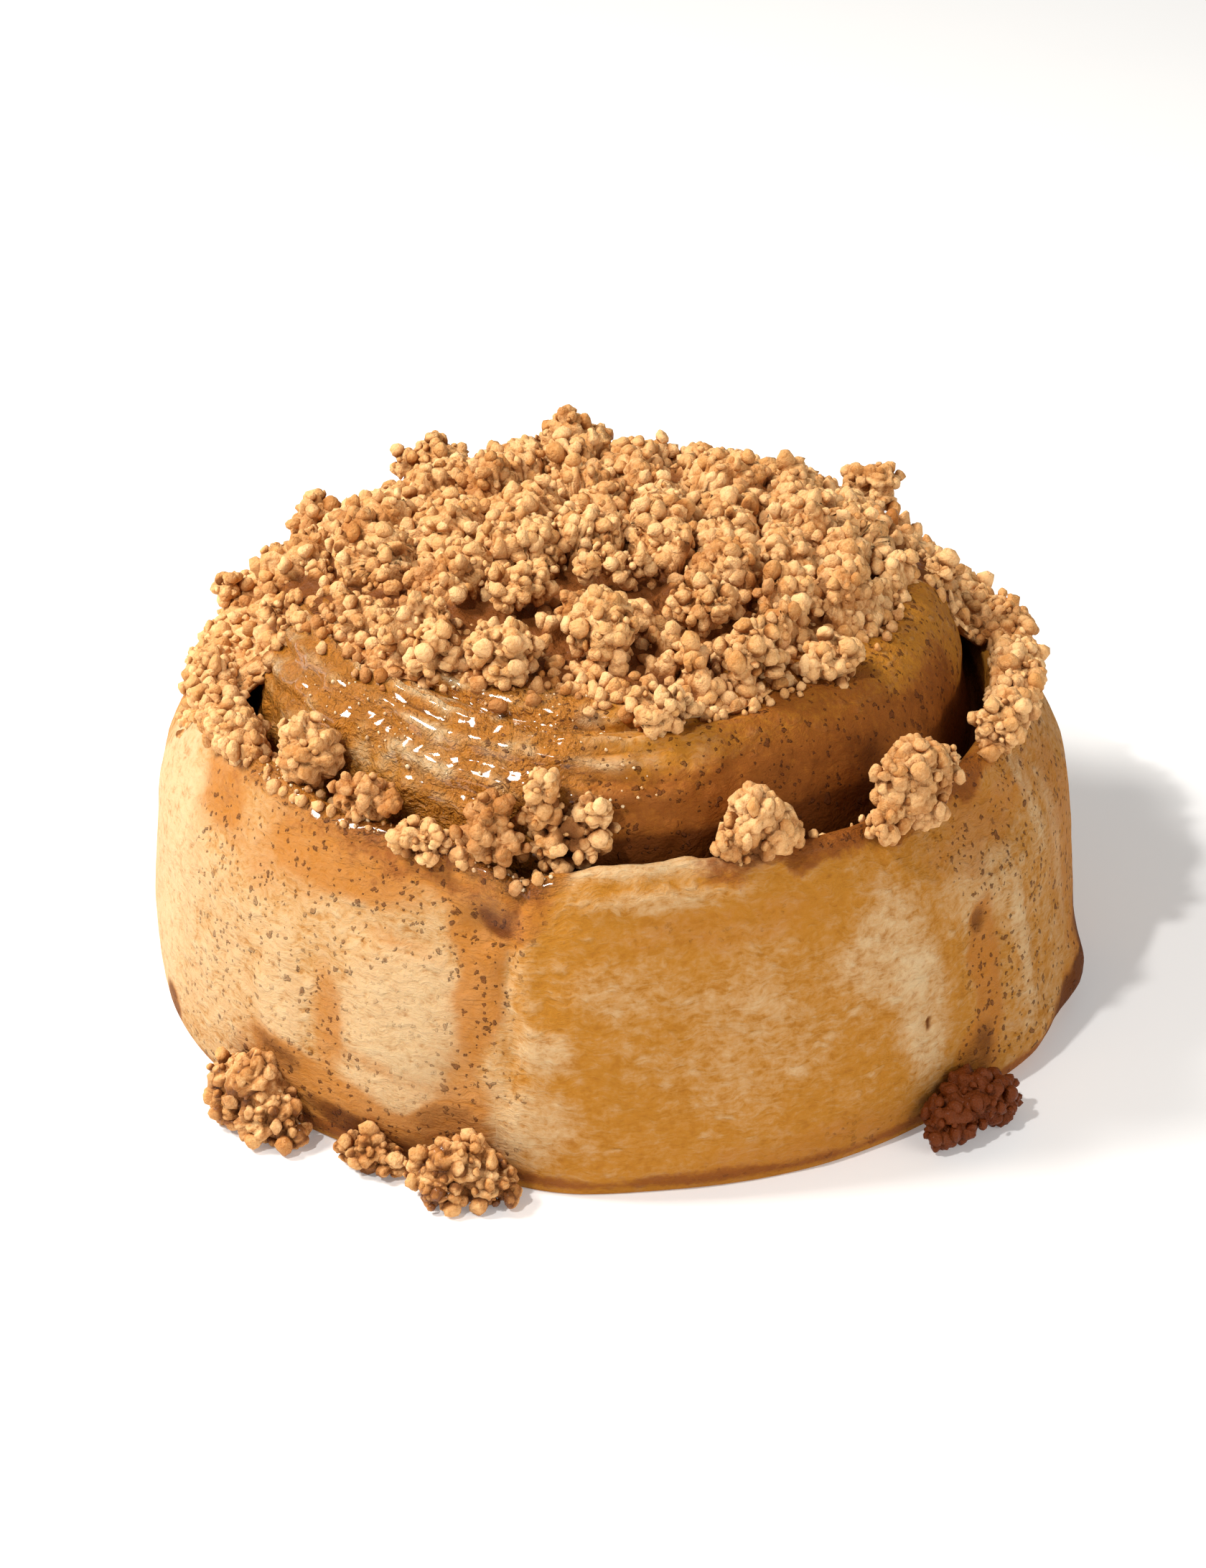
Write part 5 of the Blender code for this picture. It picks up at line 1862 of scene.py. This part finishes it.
@dataclass
class Studio:
    """The pale table, the soft light and the camera at the photograph's angle.

    Attributes:
        elevation: camera's height over the table, as an angle.
        distance: from the camera to the point it looks at.
        aim: that point.
        lens: focal length for a picture 36 mm high.
    """

    elevation: float = 30.0
    distance: float = 420.0
    aim: tuple[float, float, float] = (-1.0, 0.0, 18.8)
    lens: float = 88.6
    table_size: float = 3000.0

    def _point_at(self, item: bpy.types.Object, place: Array, target: Array) -> None:
        """Puts a light or camera at a place and turns it to look at a target."""
        item.location = Vector(place * MM)
        item.rotation_euler = Vector((target - place) * MM).to_track_quat("-Z", "Y").to_euler()
        bpy.context.scene.collection.objects.link(item)

    def camera(self) -> None:
        """The camera, in front of the bun and looking down on it."""
        lens = bpy.data.cameras.new("camera")
        lens.sensor_fit = "VERTICAL"
        lens.sensor_height = 36.0
        lens.lens = self.lens
        lens.clip_start = 0.01
        eye = bpy.data.objects.new("camera", lens)
        steep = math.radians(self.elevation)
        aim = np.array(self.aim)
        back = np.array([0.0, -math.cos(steep), math.sin(steep)])
        self._point_at(eye, aim + self.distance * back, aim)
        bpy.context.scene.camera = eye

    def light(self, name: str, place: tuple[float, float, float], size: float, watts: float, colour: Colour) -> None:
        """One square soft light that faces the bun.

        Args:
            name: name of the light.
            place: where it hangs, in millimetres.
            size: its side.
            watts: its power.
            colour: its colour.
        """
        lamp = bpy.data.lights.new(name, "AREA")
        lamp.size = size * MM
        lamp.energy = watts
        lamp.color = colour
        self._point_at(bpy.data.objects.new(name, lamp), np.array(place), np.array([0.0, 0.0, 25.0]))

    def build(self) -> None:
        """Table, world, lights and camera."""
        half = self.table_size
        points = np.array([[-half, -half, 0], [half, -half, 0], [half, half, 0], [-half, half, 0]], float)
        table = Surface(points, np.array([[0, 1, 2, 3]])).build("table")
        graph = Graph("table_white")
        cloud = graph.noise(graph.place(), 60.0, 2.0)
        colour = graph.mix(cloud, (0.86, 0.86, 0.86), (0.89, 0.89, 0.89))
        glow = {"Roughness": 0.6, "Emission Color": (1.0, 1.0, 1.0), "Emission Strength": 0.16}
        table.data.materials.append(graph.finish({"Base Color": colour}, glow))

        world = bpy.data.worlds.new("studio")
        world.use_nodes = True
        world.node_tree.nodes["Background"].inputs["Color"].default_value = (1.0, 0.985, 0.96, 1.0)
        world.node_tree.nodes["Background"].inputs["Strength"].default_value = 0.29
        scene = bpy.context.scene
        scene.world = world
        scene.view_settings.view_transform = "Standard"
        self.light("key_light", (-400.0, 0.0, 480.0), 170.0, 4.6, (1.0, 0.965, 0.91))
        self.light("fill_light", (430.0, -420.0, 260.0), 400.0, 1.58, (1.0, 0.97, 0.94))
        self.light("glint_light", (-230.0, -300.0, 480.0), 24.0, 1.7, (1.0, 0.98, 0.95))
        self.camera()


class Seed(IntEnum):
    """First seed of each run of random numbers; the pieces of a run take the next ones."""

    CLUMP_CORES = 400
    CLUMP_CRUMBS = 410
    CLUMP_SKINS = 450
    HEAP_GRAINS = 500
    LUMP_CORES = 700
    LUMP_CRUMBS = 720
    LUMP_SKINS = 740
    STREWN_PLACES = 900
    STREWN_CRUMBS = 980
    SUGAR_GRAINS = 981


@dataclass
class StreuselBun:
    """The whole bun, dressed piece by piece."""

    roll: RollShape = field(default_factory=RollShape)
    nubbly: ClumpMaker = field(default_factory=ClumpMaker)
    smooth: ClumpMaker = field(default_factory=lambda: ClumpMaker(0.6, 1.4, 1.20, 1.9, 1.6))

    def _dress(self, surface: Surface, name: str, slot: str, finish: bpy.types.Material, *nodes: str) -> None:
        """Builds one piece, gives it its finish and hides the solids it stands for.

        Args:
            surface: its surface.
            name: its name.
            slot: not used.
            finish: its material.
            nodes: the solids it stands for.
        """
        surface.points[:, 2] = np.clip(surface.points[:, 2], 0.0, TOP_LIMIT)
        piece = surface.build(name)
        piece.data.materials.append(finish)
        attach(piece, "root")
        if nodes:
            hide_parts(*nodes)

    def _clump(self, core: Balls, crumbs: Balls, seed: int, fine: bool) -> Surface:
        """A clump's lobes and crumbs as one surface.

        Args:
            core: its lobes.
            crumbs: the crumbs on them.
            seed: picks the random numbers.
            fine: whether it is seen from close by.

        Returns:
            The surface.
        """
        every = Balls.joined([core, crumbs])
        lobes = core.surface(NEAR_LOBE_SKIN if fine else LOBE_SKIN, every, seed)
        return Surface.joined([lobes, crumbs.surface(CRUMB_SKIN, every, seed + 1)])

    def _build_heap(self) -> None:
        """The sheet, the grains in four quarters, and the large clumps."""
        heap = StreuselHeap(HeapShape(self.roll))
        crumbly = StreuselFinish("streusel_crumbs").build()
        self._dress(heap.sheet(), "heap_sheet", "streusel", crumbly, "streusel_heap")
        rng = np.random.default_rng(Seed.CLUMP_CORES)
        cores = [ClumpPlan(*member.value).core(rng) for member in HeapClump]
        crumbs = [self.nubbly.crumbs(core, Seed.CLUMP_CRUMBS + k) for k, core in enumerate(cores)]
        pairs = enumerate(zip(cores, crumbs))
        clumps = [self._clump(core, crumb, Seed.CLUMP_SKINS + k, False) for k, (core, crumb) in pairs]
        self._dress(Surface.joined(clumps), "heap_clumps", "streusel", crumbly)
        grains = heap.grains()
        lobes = Balls.joined(cores)
        apart = np.linalg.norm(grains.centres[:, None] - lobes.centres[None], axis=-1)
        grains = grains.pick((apart > lobes.radii * 0.9).all(axis=1))
        every = Balls.joined([grains, lobes])
        log.info("%d grains", len(grains.radii))
        side = np.degrees(np.arctan2(grains.centres[:, 1], grains.centres[:, 0])) % 360.0
        for k, name in enumerate(("back_right", "back_left", "front_left", "front_right")):
            part = grains.pick((side >= 90.0 * k) & (side < 90.0 * k + 90.0))
            surface = part.surface(GRAIN_SKIN, every, Seed.HEAP_GRAINS + k)
            self._dress(surface, f"heap_grains_{name}", "streusel", crumbly)

    def _build_lumps(self) -> None:
        """The loose lumps on the rim and at the foot."""
        dry = StreuselFinish("streusel_lump_crumbs", 0.38).build()
        # Rim lumps 4 and 7 take a darker copy of the crumb finish: browner crumbs, and partly painted shade.
        browned_and_shaded = StreuselFinish("streusel_browned", 0.55, 0.04).build()
        soaked = StreuselFinish("streusel_soaked", 0.26, 0.0, 1.3).build()
        scorched = StreuselFinish("streusel_scorched", 0.9, 0.93, 0.1).build()
        plain = (LooseLump.RIM_LUMP_1, LooseLump.RIM_LUMP_2, LooseLump.RIM_LUMP_3, LooseLump.RIM_LUMP_4)
        finishes = {LooseLump.FOOT_LUMP_4: scorched, LooseLump.RIM_LUMP_4: browned_and_shaded, LooseLump.RIM_LUMP_7: browned_and_shaded}
        for k, lump in enumerate(LooseLump):
            core = lump.plan().core(np.random.default_rng(Seed.LUMP_CORES + k))
            maker = self.smooth if lump in plain else self.nubbly
            surface = self._clump(core, maker.crumbs(core, Seed.LUMP_CRUMBS + k), Seed.LUMP_SKINS + k, True)
            finish = finishes.get(lump, soaked if lump.node.startswith("foot") else dry)
            self._dress(surface, f"{lump.node}_crumbs", "streusel_lump", finish, lump.node)

    def _build_strewn(self, dough: Dough) -> None:
        """Small crumbs and sugar that fell on the dough."""
        crumbly = StreuselFinish("streusel_strewn_crumbs", 0.35).build()
        sugar = SugarFinish().build()
        groups = {"crumbs": [], "sugar": []}
        for k, spots in enumerate(StrewnSpot):
            group = groups["sugar" if spots.name.endswith("SUGAR") else "crumbs"]
            group.append(dough.strewn(spots, Seed.STREWN_PLACES + 10 * k))
        crumbs, grains = (Balls.joined(group) for group in groups.values())
        crumb_skins = crumbs.surface(STREWN_SKIN, crumbs, Seed.STREWN_CRUMBS)
        self._dress(crumb_skins, "strewn_crumbs", "streusel", crumbly)
        self._dress(grains.surface(SUGAR_SKIN, grains, Seed.SUGAR_GRAINS), "sugar_grains", "streusel", sugar)

    def build(self) -> None:
        """Every piece of the bun."""
        dough = Dough(self.roll)
        self._dress(dough.surface(), "dough", "dough", DoughFinish().build(), "roll")
        self._build_heap()
        self._build_lumps()
        self._build_strewn(dough)


def main() -> None:
    """Builds the bun and the studio."""
    logging.basicConfig(level=logging.INFO, format="%(message)s")
    StreuselBun().build()
    Studio().build()


if __name__ == "__main__":
    main()
